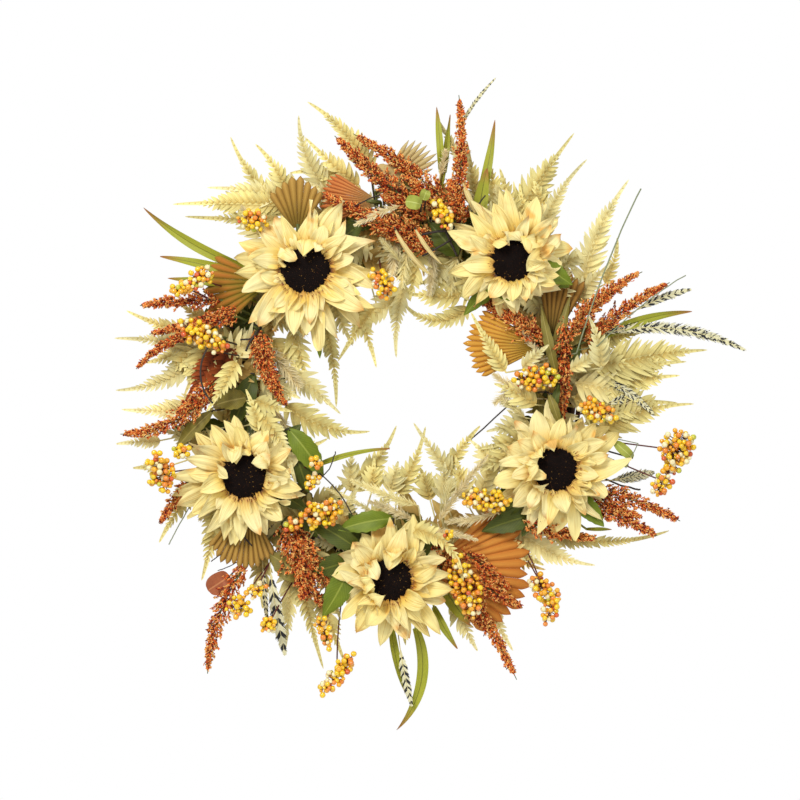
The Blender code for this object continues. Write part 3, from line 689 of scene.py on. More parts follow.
def build_disc(index, name, place, disc):
    """A dome covered in seeds that stand in a spiral, with hairs round its rim."""
    shape = Shape("disc", index)
    rng = shape.rng
    tilt = np.linspace(0.02, math.pi / 2, 9)[:, None]
    turn = circle(36)
    radial = disc * np.sin(tilt)
    depth = RIM_LIFT + DOME_RISE * np.cos(tilt) + 0 * turn
    dome = np.stack([radial * np.cos(turn), -depth, radial * np.sin(turn)], axis=-1)
    under = dome[-1:] * [0.4, 0.0, 0.4]
    shape.sheet(np.concatenate([dome, under]) + place, 0.1, closed=True)

    order = np.arange(SEED_COUNT) + 0.5
    spread = disc * 0.98 * np.sqrt(order / SEED_COUNT)
    spiral = order * math.pi * (3 - math.sqrt(5))
    low = RIM_LIFT + DOME_RISE * np.sqrt(np.maximum(0.0, 1 - (spread / disc) ** 2))
    feet = np.stack([spread * np.cos(spiral), -low, spread * np.sin(spiral)], axis=1)
    out = np.stack([0.9 * feet[:, 0] / disc, -np.ones(SEED_COUNT), 0.9 * feet[:, 2] / disc], axis=1)
    out = out + rng.normal(0, 0.22, out.shape)
    wide = rng.uniform(0.0005, 0.0008, SEED_COUNT)
    bulk = np.stack([wide, wide, rng.uniform(0.0013, 0.0026, SEED_COUNT)], axis=1)
    shape.copies(GRAIN, feet + place, bulk, out, rng.uniform(0, 1, SEED_COUNT))

    t = np.linspace(0, 1, 5)[:, None]
    for k in range(HAIR_COUNT):
        angle = TURN * k / HAIR_COUNT + rng.normal(0, 0.03)
        tall = rng.uniform(0.004, 0.010)
        hook = rng.uniform(-0.7, 1.0)
        ray = np.array([math.cos(angle), 0, math.sin(angle)])
        hair = ray * disc * (0.97 + 0.10 * t + 0.16 * hook * t**2) + FRONT * (RIM_LIFT + tall * t)
        shape.sheet(ribbon(hair, 0.0008 * (1 - 0.8 * t[:, 0]), 2) + place, rng.uniform(), 1)
    shape.finish(f"sunflower_{name}_seeds", [SEED, FRINGE], [f"sunflower_{name}_seed_disc"], slot="seed")


def build_calyx(index, name, place, clock, head, leaves):
    """Stem, green cup, sepals and broad leaves."""
    green = Shape("calyx", index)
    rng = green.rng
    foot = on_ring(clock)
    knee = foot * 0.6 + head * 0.4
    stem = np.array([
        [foot[0], -STEM_TIP, foot[1]], [foot[0], -0.044, foot[1]], [knee[0], -0.060, knee[1]],
        [head[0], -0.072, head[1]], [head[0], -0.078, head[1]],
    ])
    green.tube(stem, [0.0026, 0.0026, 0.0028, 0.0032, 0.006], 8, slot=1)
    turn = circle(36)
    rise = np.linspace(0, 1, 7)[:, None]
    wide = 0.005 + 0.017 * smooth(rise)
    cup = np.stack([wide * np.cos(turn), 0.012 - 0.013 * rise + 0 * turn, wide * np.sin(turn)], axis=-1)
    green.sheet(cup + place, 0.3, slot=1, closed=True)
    for k in range(SEPAL_COUNT):
        angle = TURN * k / SEPAL_COUNT + rng.normal(0, 0.05)
        end = (rng.uniform(0.034, 0.044), rng.uniform(-0.012, -0.003))
        sepal = petal(angle, (0.014, -0.006), (0.028, -0.004), end, 0.012, sway=rng.normal(0, 0.003), cup=0.3)
        green.sheet(sepal + place, rng.uniform())
    for heading, length, width, dark in leaves:
        depth = LEAF_DEPTH - 0.003 - rng.uniform(0, 0.004)
        depths = (depth, depth - 0.002, depth - 0.010)
        path = stem_path(head, heading, length, rng.uniform(-20, 20), depths, 20)
        green.sheet(broad_leaf(path, width, rng), rng.uniform(), slot=2 if dark else 0)
    paints = [GREEN, GREEN_STEM, DARK_GREEN]
    green.finish(f"sunflower_{name}_stem", paints, [f"sunflower_{name}_stem"], slot="green_leaf")


def build_sunflowers():
    for index, row in enumerate(SUNFLOWERS):
        name, clock, distance, reach, (long_side, longer), disc, curl, leaves = row
        head = on_ring(clock, distance)
        place = np.array([head[0], -PETAL_DEPTH, head[1]])
        build_petals(index, name, place, reach, long_side, longer, disc, *curl)
        build_disc(index, name, place, disc)
        build_calyx(index, name, place, clock, head, leaves)


def broad_leaf(path, width, rng):
    """A pointed oval leaf with a toothed, slightly ruffled edge."""
    t = np.linspace(0, 1, len(path))
    wide = width / 2 * np.sin(math.pi * np.clip(t, 0, 1) ** 0.85) ** 0.9
    wide = wide * (1 + 0.06 * np.sin(40 * t)) + 0.0004
    return ribbon(path, wide, 9, fold=0.25, cup=rng.uniform(-0.2, 0.2), twist=rng.normal(0, 12),
                  ruffle=0.0015, phase=rng.uniform(0, 6))


# ---------------------------------------------------------------- ferns and plumes

# Fronds by pick: root x, z and tip x, z in millimetres from the ring's centre, bend, longest leaflet in
# millimetres, how far in front of the fern layer it lies, in millimetres, and the paint of a few.
FRONDS = {
    "upper_left": (
        (-120, 206, -250, 206, 5, 16, 3), (-130, 190, -236, 192, -6, 8, 0),
        (-112, 214, -212, 224, 8, 14, 1), (-119, 193, -187, 280, -34, 11, 0),
        (-119, 201, -159, 271, 34, 9, 3), (-77, 218, -112, 303, -44, 11, 0),
        (-32, 240, -102, 317, 34, 11, 2), (-45, 225, -105, 279, -10, 10, 4),
        (-56, 233, -122, 240, 34, 8, 0), (-61, 207, -104, 230, 10, 11, 5),
        (-152, 171, -195, 204, 10, 12, 0), (-110, 220, -145, 240, -20, 10, 0),
        (-90, 92, -71, -16, -22, 8, 0), (-56, 102, -27, 27, -18, 8, 2), (-27, 97, -69, 34, 6, 8, 3),
        (-77, 100, -53, 51, 0, 10, 0), (1, 113, -56, 62, -10, 13, 0),
    ),
    "top": (
        (75, 246, 39, 300, -10, 5, 0), (88, 193, 72, 275, -6, 12, 0), (108, 192, 95, 262, 0, 12, 2),
        (4, 120, -5, 38, 22, 7, 4), (66, 105, 3, 108, -8, 12, 4), (76, 129, 14, 117, 14, 11, 0),
        (20, 160, 10, 100, 6, 15, 4), (88, 152, 68, 92, 0, 15, 2), (50, 158, 34, 104, 4, 14, 0),
        (-8, 206, 34, 226, 10, 14, 2), (43, 133, 75, 100, 20, 10, 0), (74, 95, 1, 101, -112, 8, 8),
    ),
    "upper_right": (
        (121, 179, 190, 284, -10, 19, 0), (152, 164, 204, 255, -34, 9, 3), (124, 171, 108, 244, 10, 14, 4),
        (136, 170, 130, 229, 0, 13, 5), (157, 193, 145, 233, 10, 10, 0), (199, 113, 249, 232, -27, 14, 0),
        (223, 118, 237, 169, 30, 5, 4), (173, 140, 208, 157, 20, 8, 0), (190, 100, 230, 142, 0, 10, 0),
    ),
    "right": (
        (206, 22, 335, 46, -16, 22, 13), (208, 12, 311, 33, -20, 19, 10), (215, -44, 319, -13, -32, 16, 12),
        (190, 10, 264, 0, 10, 18, 13), (188, -5, 252, -30, 0, 18, 11), (198, 32, 262, 28, -10, 15, 14),
        (206, 4, 304, 18, -10, 20, 8), (210, -16, 302, -12, -14, 18, 9), (202, -35, 261, -9, -10, 17, 3),
        (217, 26, 203, 82, 28, 9, 38), (132, 26, 160, 51, -10, 6, 38), (184, 24, 223, 46, 0, 6, 30),
        (206, 57, 271, 68, 10, 10, 0), (114, 21, 76, 86, -6, 7, 36), (141, -35, 93, -43, 10, 14, 20),
        (138, -50, 85, -62, 0, 14, 24), (141, -59, 86, -87, 16, 15, 28), (147, -14, 101, 9, 20, 12, 30),
        (173, -69, 217, -52, 0, 12, 0), (173, -85, 228, -118, 0, 12, 0),
    ),
    "bottom_right": (
        (152, -152, 294, -152, 38, 7, 2), (124, -148, 213, -190, 38, 15, 0),
        (108, -167, 157, -190, 0, 10, 4), (87, -214, 123, -284, 8, 10, 0), (56, -227, 84, -284, 6, 10, 0),
        (108, -85, 75, -52, 10, 14, 20), (121, -96, 108, -52, -10, 12, 10), (59, -92, 14, -34, -10, 8, 4),
        (-5, -113, 27, -38, 22, 9, 2), (53, -81, 87, -37, -14, 6, 6), (-60, -107, -5, -37, 36, 11, 0),
        (-12, -109, -3, -76, 0, 11, 4), (32, -118, 21, -83, 10, 12, 0), (48, -118, 48, -76, 0, 12, 4),
        (70, -118, 59, -69, 10, 12, 0), (86, -118, 108, -52, 0, 12, 0), (4, -150, 66, -213, -104, 8, 44),
    ),
    "lower_left": (
        (-121, -185, -128, -288, -8, 10, 0), (-114, -183, -85, -303, 6, 10, 2),
        (-202, -118, -219, -207, -12, 10, 0), (-223, -98, -265, -165, 10, 9, 0),
        (-186, -118, -204, -170, 0, 10, 2), (-88, -183, -66, -249, 0, 10, 0),
        (-152, -183, -152, -238, 0, 10, 0), (-53, -109, -53, -65, -20, 10, 0),
        (-32, -109, -29, -70, 0, 11, 4), (-143, -31, -113, -102, -18, 7, 36),
        (-152, -24, -125, -59, 0, 11, 36), (-90, -222, -61, -298, 0, 11, 0),
    ),
    "left": (
        (-263, -53, -313, -57, 4, 5, 0), (-213, -10, -306, -19, -24, 10, 0),
        (-223, 35, -313, 2, -38, 10, 2), (-218, 50, -314, 59, 10, 9, 0), (-234, 46, -279, 32, -10, 7, 3),
        (-218, 62, -300, 89, -18, 9, 0), (-213, 56, -263, 15, 10, 15, 6), (-213, 50, -237, -4, 0, 15, 8),
        (-213, 46, -258, 35, 10, 15, 4), (-254, -81, -293, -83, 0, 6, 0), (-203, 68, -246, 100, 0, 10, 0),
        (-219, -52, -263, -41, 0, 10, 0), (-128, 26, -66, -24, -12, 13, 4),
        (-128, -11, -34, -43, 52, 14, 2), (-121, 70, -101, 2, -8, 13, 0), (-178, 34, -210, -21, -10, 9, 40),
        (-158, -9, -118, -21, 14, 8, 34), (-152, -44, -168, 3, 10, 8, 34), (-143, 57, -110, 22, 0, 14, 0),
        (-154, 13, -110, -7, 0, 13, 0), (-198, 44, -236, -12, 14, 11, 10, 4),
        (-190, 30, -216, -14, 0, 11, 16, 4), (-184, 52, -206, 10, 10, 10, 8, 4),
    ),
}
# Soft plumes, in the same columns.
PLUMES = {
    "upper_left": ((-152, 179, -175, 204, 8, 9, 0), (-110, 100, -114, 35, 10, 16, 0)),
    "top": (
        (-1, 202, -51, 180, 14, 9, 34), (-1, 142, -23, 168, 0, 9, 20), (-5, 166, -10, 126, 0, 12, 10),
        (10, 165, 0, 112, 10, 14, 12), (35, 160, 30, 105, -10, 13, 10), (62, 158, 52, 100, 0, 13, 8),
        (43, 237, 49, 264, 10, 10, 10), (59, 247, 75, 264, 0, 9, 6),
    ),
    "upper_right": ((113, 166, 105, 226, 0, 14, 8), (152, 35, 130, 68, 10, 8, 30)),
    "right": (
        (143, 13, 101, -13, 10, 14, 26), (143, -7, 100, 20, -14, 12, 28), (135, -28, 108, -7, 10, 14, 26),
        (130, -52, 108, -85, 0, 12, 24), (206, -9, 261, -20, 0, 16, 6), (217, 24, 271, 22, -10, 16, 4),
    ),
    "bottom_right": (
        (19, -124, -55, -95, -10, 12, 26), (15, -140, -36, -118, 10, 10, 30),
        (40, -142, 95, -68, -8, 10, 30), (43, -134, 56, -94, 10, 14, 24),
        (105, -131, 47, -141, -20, 10, 34), (-27, -133, -83, -104, 10, 6, 30),
        (32, -150, 84, -161, -10, 8, 30),
    ),
    "lower_left": ((-203, -118, -221, -140, 0, 10, 4), (-137, -20, -110, -58, 10, 10, 14)),
    "left": (
        (-152, 51, -110, 4, -10, 20, 6), (-165, 44, -126, -9, -10, 18, 10),
        (-170, -14, -143, -58, 0, 12, 12), (-214, 59, -250, 46, 10, 16, 4),
    ),
}
# Short fronds that hide the vine behind the flowers: from one clock angle to another, and how many.
FILLERS = {
    "upper_left": (112, 150, 13), "top": (60, 112, 15), "upper_right": (24, 60, 11), "right": (-34, 24, 15),
    "bottom_right": (-95, -34, 15), "lower_left": (210, 265, 16), "left": (150, 210, 18),
}
# In millimetres; fronds that lie further forward than this stay straight, clear of the flowers.
MOST_LIFT_THAT_BOWS = 15


def frond(shape, path, rng, slot, leaflet):
    """A frond: leaflets joined by a web along the midrib, down to small teeth along a flat tail."""
    tint = rng.uniform()
    tail = rng.uniform(0.66, 0.80)

    def swell(share):
        return smooth((share + 0.12) / 0.26) * (1 - np.clip(share / (tail + 0.08), 0, 1) ** 1.6)

    t = np.linspace(0, 1, len(path))
    flat_tail = 0.0021 * smooth((t - tail + 0.2) / 0.2) * np.sqrt(np.clip((1 - t) / (1 - tail), 0, 1))
    web = np.maximum(0.17 * leaflet * swell(t), flat_tail) + 0.0003
    shape.sheet(ribbon(path, web, 7, fold=0.3, cup=0.1), tint, slot, v_range=(0.1, 1.0))
    along, side, normal = frames(path)
    lift = rng.normal(0.0, 0.22)
    count = max(8, int(length_of(path) / min(0.0066, 0.0034 + 0.25 * leaflet)))
    rows = np.linspace(0, 1, 7)
    for share in np.linspace(0.06, 0.96, count):
        root, low = along_path(path, share)
        for hand in (-1, 1):
            long = (1.38 * leaflet * swell(share) + 0.0030 * (1 - share)) * rng.uniform(0.85, 1.12) + 0.0012
            lean = math.radians(rng.normal(60 - 24 * share, 5))
            flat = math.cos(lean) * along[low] + math.sin(lean) * hand * side[low]
            rise = rng.normal(lift, 0.14)
            leaf = root + (rows * long)[:, None] * flat + (0.18 * long * rows**2)[:, None] * along[low]
            leaf = leaf + (rise * long * rows**2 + 0.0004)[:, None] * normal[low]
            half = min(0.0031, 0.23 * long) * rng.uniform(0.88, 1.12)
            wide = half * np.sin(math.pi * (0.34 + 0.65 * rows)) ** 0.8 + 0.00015
            blade = ribbon(leaf, wide, 5, fold=0.3 * hand, cup=0.3, twist=rng.normal(0, 14))
            shape.sheet(blade, np.clip(tint * 0.6 + 0.4 * rng.uniform(), 0, 1), slot)


def plume(shape, path, rng, slot, barb):
    """A soft plume: fine curved barbs all the way along, close together."""
    shape.tube(path, 0.0009 * (1.05 - np.linspace(0, 1, len(path))), 5, slot=slot)
    along, side, normal = frames(path)
    rows = np.linspace(0, 1, 5)
    tint = rng.uniform()
    for share in np.linspace(0.04, 0.98, int(length_of(path) / 0.0009)):
        root, low = along_path(path, share)
        swell = min(1.0, 0.45 + 3 * share) * (1 - share**3) ** 0.8 + 0.12
        for hand in (-1, 1):
            long = barb * swell * rng.uniform(0.6, 1.1)
            lean = math.radians(rng.normal(38, 9))
            around = rng.normal(0, 0.55)
            out = math.cos(around) * hand * side[low] + math.sin(around) * normal[low]
            hair = root + (rows * long)[:, None] * (math.cos(lean) * along[low] + math.sin(lean) * out)
            hair = hair + (rng.normal(0.10, 0.12) * long * rows**2)[:, None] * along[low]
            shade = np.clip(tint + rng.normal(0, 0.2), 0, 1)
            shape.sheet(ribbon(hair, 0.00075 * (1.05 - rows), 2), shade, slot)


def build_ferns():
    paints = [STRAW, CREAM, PAMPAS, BROWN_FERN, RUST_FERN, DARK_GREEN, OLIVE_LEAF]
    for name, rows, shape, rng in picks("fern", FRONDS):
        jobs = [(row, frond) for row in rows] + [(row, plume) for row in PLUMES[name]]
        for row, make in jobs:
            base = FERN_DEPTH + row[6] / 1000
            bow = 0.0 if row[6] > MOST_LIFT_THAT_BOWS else rng.uniform(-0.010, 0.010)
            path = route(row, (base - 0.004, base, base + bow), 30)
            slot = int(rng.uniform() < 0.4) if make is frond else rng.choice([1, 2])
            if len(row) > 7:
                slot = row[7]
            make(shape, path, rng, slot, row[5] / 1000)
            plant(shape, path, 0.0008, slot)
        first, last, count = FILLERS[name]
        for clock in np.linspace(first, last, count, endpoint=False):
            fill_gap(shape, clock, rng)
        shape.finish(f"fern_{name}", paints, [f"fern_pick_{name}"], slot="fern")


def fill_gap(shape, clock, rng):
    """A short frond, with a backing leaf behind it that fills the gap, in dark paints that stand in for the
    shade there.
    """
    root = on_ring(clock, RING_RADIUS + rng.uniform(-0.020, 0.020))
    heading = clock + rng.choice([0, 180]) + rng.uniform(-70, 70)
    depth = FERN_DEPTH + rng.uniform(-0.004, 0.006)
    path = stem_path(
        root, heading, rng.uniform(0.048, 0.080), rng.uniform(-40, 40),
        (STEM_TIP, depth, depth + rng.uniform(-0.008, 0.008)), 20,
    )
    frond(shape, path, rng, rng.choice([0, 1, 3]), rng.uniform(0.012, 0.018))
    # Painted shade: a leaf low in the bundle, in dark paints, so that the gaps between the fronds show dark
    # instead of the white behind.
    path = stem_path(
        root, rng.uniform(0, 360), rng.uniform(0.045, 0.062), rng.uniform(-40, 40),
        (STEM_TIP, 0.036, 0.040 + rng.uniform(-0.004, 0.004)), 24,
    )
    shape.sheet(broad_leaf(path, rng.uniform(0.018, 0.024), rng), rng.uniform(), rng.choice([3, 5, 5, 6]))


# ---------------------------------------------------------------- grain sprays

# Spikes by pick: root x, z and tip x, z in millimetres from the ring's centre, bend, and half thickness in
# millimetres.
GRAINS = {
    "top": (
        (22, 196, -72, 278, -6, 10.5), (62, 196, -52, 281, 14, 10.5), (59, 184, 63, 323, 16, 8),
        (44, 190, 4, 236, 20, 8), (30, 188, -22, 214, 10, 8), (70, 184, 52, 232, 0, 8),
    ),
    "upper_left": ((30, 165, -87, 217, -14, 10), (40, 155, -26, 176, 0, 10), (34, 170, -40, 196, 0, 9)),
    "left_upper": (
        (-195, 100, -284, 94, 8, 8), (-178, 82, -274, 63, 6, 6), (-214, 66, -288, 25, 40, 5),
        (-178, 92, -232, 70, 0, 6),
    ),
    "inner_left": (
        (-157, 70, -124, -17, 26, 10), (-158, 64, -138, 2, 10, 8.5), (-150, 66, -140, 20, 20, 8),
    ),
    "left": ((-203, 4, -306, -46, -50, 9), (-222, -85, -262, -143, 6, 7), (-200, 12, -245, -26, 0, 8)),
    "bottom_left": (
        (-168, -188, -210, -306, 34, 9), (-130, -143, -84, -236, 12, 13.5),
        (-118, -145, -106, -228, -10, 12), (-112, -148, -74, -214, 26, 12), (-124, -150, -92, -204, 0, 12),
    ),
    "bottom_right": (
        (32, -158, 126, -313, -12, 10), (60, -168, 120, -216, -10, 8), (76, -200, 132, -234, 14, 8),
        (52, -205, 98, -262, 0, 9),
    ),
    "lower_right": (
        (122, -135, 214, -160, 18, 9.5), (200, -104, 303, -140, -18, 8.5), (205, -124, 278, -156, -12, 8),
        (205, -108, 262, -136, 20, 7),
    ),
    "right": (
        (180, 58, 263, 131, -34, 8.5), (200, 54, 292, 119, -16, 8), (178, 84, 174, -42, -6, 8.5),
        (188, 66, 246, 120, -30, 7.5), (160, 48, 80, 104, 8, 10), (154, 60, 88, 108, 0, 8),
    ),
}
# Grains on each branchlet of a spray.
GRAINS_TOGETHER = 19


def grain_spike(shape, path, rng, thick):
    """A spray: a thin stem with short branchlets, each packed round with grains."""
    t = np.linspace(0, 1, len(path))
    shape.tube(path, 0.0012 - 0.0007 * t, 5, slot=1)
    along, side, normal = frames(path)
    mood = rng.normal(0.0, 0.05)
    count = GRAINS_TOGETHER
    branches = int(length_of(path) * 1000)
    for k in range(branches):
        s = (k + rng.uniform()) / branches
        root, low = along_path(path, s * 0.95)
        swell = min(1.0, 0.60 + 2.0 * s) * (1 - s) ** 0.75 + 0.06
        around = k * 2.4 + rng.normal(0, 0.4)
        out = math.cos(around) * side[low] + math.sin(around) * normal[low]
        lean = math.radians(rng.normal(40, 8))
        way = math.cos(lean) * along[low] + math.sin(lean) * out
        long = 2.2 * thick * swell * rng.choice([0.75, 0.95, 1.1, 1.35], p=[0.3, 0.35, 0.25, 0.10])
        part = np.sqrt(rng.uniform(0.02, 1, count))
        loose = 0.0013 * (1.2 - part)[:, None] + 0.0003
        places = root + (long * part)[:, None] * way + loose * rng.normal(0, 1, (count, 3))
        axes = way + rng.normal(0, 0.45, (count, 3))
        wide = rng.uniform(0.00075, 0.00108, count)
        sizes = np.stack([wide, wide * 0.8, rng.uniform(0.0013, 0.0020, count)], axis=1)
        # Grains further out along a branchlet get a lighter tint and those near the stem a darker one:
        # painted shade deep inside the spray.
        tints = rng.choice([0.08, 0.50, 0.88], count, p=[0.27, 0.35, 0.38]) + 0.25 * (part - 0.5)
        tints = np.clip(tints + mood + rng.normal(0, 0.08, count), 0, 1)
        shape.copies(GRAIN, places, sizes, axes, tints)


def build_grain():
    for name, rows, shape, rng in picks("grain", GRAINS):
        for row in rows:
            depth = GRAIN_DEPTH + rng.uniform(-0.006, 0.002)
            path = route(row, (depth - 0.006, depth, GRAIN_DEPTH + rng.uniform(-0.012, 0.006)), 30)
            grain_spike(shape, path, rng, row[5] / 1000)
            plant(shape, path, 0.0013, 1)
        shape.finish(f"grain_{name}", [GRAIN_HUSK, GREEN_STEM], [f"grain_pick_{name}"], slot="grain")


# ---------------------------------------------------------------- berries

# Bunches by pick: centre x, z in millimetres from the ring's centre, half length, half width, turn, berries.
BERRIES = {
    "upper_left": (
        (-160, 185, 17, 12, 0, 30), (-218, 122, 17, 11, 30, 28), (-234, 113, 16, 8, 20, 22),
        (-214, 60, 30, 13, -28, 60),
    ),
    "lower_left": ((-259, -87, 25, 16, -70, 56), (-237, -64, 10, 7, 10, 12)),
    "inner_left": (
        (-85, -131, 25, 16, 15, 66), (-117, -143, 11, 8, 0, 14), (-92, -76, 7, 6, 60, 9),
        (-96, -96, 11, 7, 60, 14), (-175, -232, 15, 12, 0, 24), (-156, -214, 12, 8, 30, 14),
        (-143, -252, 10, 9, 0, 16),
    ),
    "bottom": ((-69, -305, 31, 10, 50, 44), (-83, -259, 20, 8, -70, 22)),
    "lower_right": (
        (92, -117, 28, 13, -5, 52), (70, -211, 36, 16, 105, 70), (153, -212, 20, 13, 120, 34),
        (162, -232, 20, 10, 70, 26), (51, -154, 6, 5, 0, 6),
    ),
    "right": (
        (146, 15, 26, 14, 12, 54), (211, -20, 23, 12, -20, 40), (299, -63, 24, 20, 60, 74),
        (283, -96, 20, 10, 60, 28),
    ),
    "top": ((-20, 117, 20, 12, -60, 34), (45, 192, 19, 10, -65, 28)),
}
# How many more berries a bunch tries to hold than its row says.
BERRY_CROWD = 1.35


def bunch(shape, centre, half_long, half_wide, turn, number, rng):
    """Berries packed round a short forked stem, none inside another."""
    c, s = math.cos(math.radians(turn)), math.sin(math.radians(turn))
    sizes, places = np.zeros(0), np.zeros((0, 3))
    spots = rng.normal(0, 0.55, (number * 60, 3))
    for spot_in in spots[np.linalg.norm(spots, axis=1) < 1]:
        size = rng.choice([0.0021, 0.0028, 0.0033], p=[0.16, 0.36, 0.48])
        local = spot_in * [half_long, 0.8 * half_wide, half_wide]
        place = centre + np.array([c * local[0] - s * local[2], local[1], s * local[0] + c * local[2]])
        if np.all(np.linalg.norm(places - place, axis=1) > 0.80 * (sizes + size)):
            places, sizes = np.vstack([places, place]), np.append(sizes, size)
        if len(places) == number:
            break
    axis = np.array([c, 0.0, s])
    core = centre + np.clip((places - centre) @ axis, -0.7 * half_long, 0.7 * half_long)[:, None] * axis * 0.8
    reach = 0.6 * half_long * axis
    shape.tube(np.linspace(centre - reach, centre + reach, 6), 0.0008, 5, slot=1)
    t = np.linspace(0, 1, 4)[:, None]
    for place, foot in zip(places, core):
        shape.tube(foot * (1 - t) + place * t, 0.0005, 4, slot=1)
    axes = places - core + rng.normal(0, 0.004, places.shape) + FRONT * 0.006
    shape.copies(BERRY, places, np.repeat(sizes[:, None], 3, axis=1), axes, rng.uniform(0, 1, len(places)))


def build_berries():
    for name, bunches, shape, rng in picks("berries", BERRIES):
        for x, z, half_long, half_wide, turn, number in bunches:
            depth = BERRY_DEPTH + rng.uniform(-0.009, 0.002)
            end = spot(x, z)
            centre = np.array([end[0], -depth, end[1]])
            bunch(shape, centre, half_long / 1000, half_wide / 1000, turn, int(BERRY_CROWD * number), rng)
            root = on_ring(clock_of((x, z)) + rng.uniform(-6, 6))
            way = end - root
            depths = (STEM_TIP, 0.040, depth - 0.010)
            path = stem_path(root, clock_of(way), math.hypot(*way), rng.uniform(-25, 25), depths, 16)
            shape.tube(path, 0.0008, 6, slot=1)
        shape.finish(f"berries_{name}", [BERRY_SKIN, MAROON_STEM], [f"berry_pick_{name}"], slot="berry")


# ---------------------------------------------------------------- feathers and grass

# Feathers by pick: root x, z and tip x, z in millimetres from the ring's centre, bend, half width in
# millimetres, and how closely barred they are.
FEATHERS = {
    "right": (
        (150, 34, 378, 45, -60, 7, 0.85), (236, 76, 317, 112, -24, 4.5, 0.25),
        (172, 34, 276, -25, -34, 5, 0.65), (212, -18, 258, -4, -10, 4.5, 0.15),
        (210, -98, 277, -88, 6, 6, 0.45),
    ),
    "bottom_left": (
        (-145, -160, -126, -287, 8, 7, 0.10), (-152, -165, -145, -254, 6, 3, 0.30),
        (-4, -255, 12, -343, 8, 4.5, 0.20),
    ),
    "top": ((52, 262, 104, 344, -24, 2.0, 0.70),),
}
# Grass blades: the same columns up to the bend, then the width in millimetres.
GRASSES = {
    "upper_left": (
        (-166, 134, -282, 202, -24, 12), (-170, 126, -263, 148, 10, 11), (-190, 118, -254, 124, 0, 8),
    ),
    "bottom": (
        (16, -258, -5, -370, -66, 13), (-10, -258, 9, -338, 18, 10), (36, -235, 62, -281, 10, 9),
        (42, -205, 76, -255, 8, 17),
    ),
    "top": (
        (44, 240, 39, 312, 4, 8), (48, 240, 54, 304, -6, 7), (80, 185, 103, 298, 10, 11),
        (84, 180, 94, 244, -10, 17), (47, 172, -14, 186, 20, 6),
    ),
    "right": ((212, 56, 318, 88, -28, 11), (214, 30, 277, 38, 22, 8), (203, -150, 230, -150, -10, 4)),
    "left": ((-96, -82, -12, -62, -22, 6),),
}
# Leaves that stand with the grass: the same columns up to the bend, then width and lift in millimetres and
# the leaf's paint: 1 bright, 2 dark, 3 rust, 4 olive, 5 pale round, 6 straw.
LEAVES = {
    "upper_left": (
        (-168, -6, -202, -14, 10, 22, 8, 4), (-205, -20, -246, -62, 10, 15, 4, 4),
        (-205, 78, -222, 50, 0, 14, 0, 2), (-160, 20, -185, -40, 0, 24, 2, 2),
    ),
    "bottom": (
        (-8, -137, -68, -150, 20, 22, 30, 1), (-54, -188, -85, -244, -10, 26, 26, 1),
        (-42, -174, -102, -138, 14, 22, 24, 2), (-45, -180, -96, -196, 0, 26, 20, 2),
        (-106, -204, -144, -176, 16, 28, 14, 4), (-186, -200, -210, -216, 0, 23, 16, 3),
        (-122, -40, -84, -92, -14, 25, 26, 1), (-120, -50, -100, -110, 0, 26, 18, 2),
    ),
    "top": (
        (22, 202, 5, 206, 10, 15, 40, 5), (28, 218, 24, 207, 0, 11, 40, 5),
        (-7, 177, 33, 126, 30, 4.5, 44, 6), (15, 177, 44, 138, 24, 4, 44, 6),
        (81, 193, 65, 233, 0, 5, 20, 6), (-34, 246, 20, 224, 10, 22, 4, 6),
        (-20, 230, 24, 214, 0, 20, 2, 4), (150, 140, 186, 116, 0, 20, 26, 1),
        (128, 100, 80, 120, 10, 16, 34, 1), (-60, 190, -30, 180, 0, 18, 6, 2),
        (62, 148, 30, 186, 0, 24, 8, 2), (0, 190, 34, 150, 8, 24, 2, 2),
    ),
    "right": (
        (188, -108, 220, -146, 0, 20, 28, 1), (150, -132, 88, -152, 10, 24, 14, 2),
        (142, -98, 108, -138, 0, 20, 16, 2), (252, -72, 232, -54, 0, 11, 20, 5),
        (247, -80, 236, -77, 0, 5, 20, 5), (176, 48, 206, 78, 0, 16, 6, 4), (150, 0, 152, -40, 0, 14, 4, 4),
        (172, 20, 196, 50, 0, 18, 10, 2), (160, -2, 173, -38, 0, 9, 34, 4),
        (170, 16, 152, 96, -6, 10, 20, 4), (172, 10, 158, -44, 4, 9, 24, 2),
        (162, 28, 184, 104, 4, 11, 12, 4), (166, -8, 178, -62, 0, 9, 20, 2),
    ),
    "left": (),
}
# Bare stems and wires with the grass: the same columns up to the bend, then half thickness, lift and paint.
WIRES = {
    "upper_left": ((-200, 58, -202, -12, 90, 1.0, 42, 7), (-228, -120, -254, -168, 0, 0.6, 4, 8)),
    "bottom": (
        (150, 14, 65, -62, 0, 0.8, -8, 7), (-160, -166, -208, -184, 34, 0.6, 10, 7),
        (-165, -175, -198, -196, -20, 0.5, 8, 7), (-184, -144, -163, -168, 0, 0.9, 14, 7),
        (-88, -88, -52, -132, -24, 0.7, 34, 7), (-78, -84, -70, -64, 0, 0.6, 12, 7),
    ),
    "top": (
        (-20, 215, -60, 196, 20, 0.7, 14, 7), (58, 180, 92, 214, 20, 0.8, 10, 7),
        (70, 176, 14, 170, 10, 1.3, 16, 7), (62, 170, 22, 148, -10, 1.1, 18, 7),
        (40, 192, 62, 148, 0, 1.2, 14, 7),
    ),
    "right": (
        (190, 42, 259, 220, -10, 0.8, 36, 8), (213, 50, 308, 126, -16, 0.6, 36, 8),
        (240, -102, 260, -106, 0, 1.0, 12, 7), (258, -56, 244, -84, 10, 0.5, 20, 8),
        (160, -20, 140, -60, 0, 0.8, 26, 8),
    ),
    "left": (
        (-178, 40, -206, 52, -40, 0.8, 20, 7), (-152, 70, -168, 46, 20, 1.2, 14, 7),
        (-150, 62, -176, 58, -30, 1.0, 12, 7),
    ),
}
# Rows of barbs on a feather.
BARB_ROWS = 130


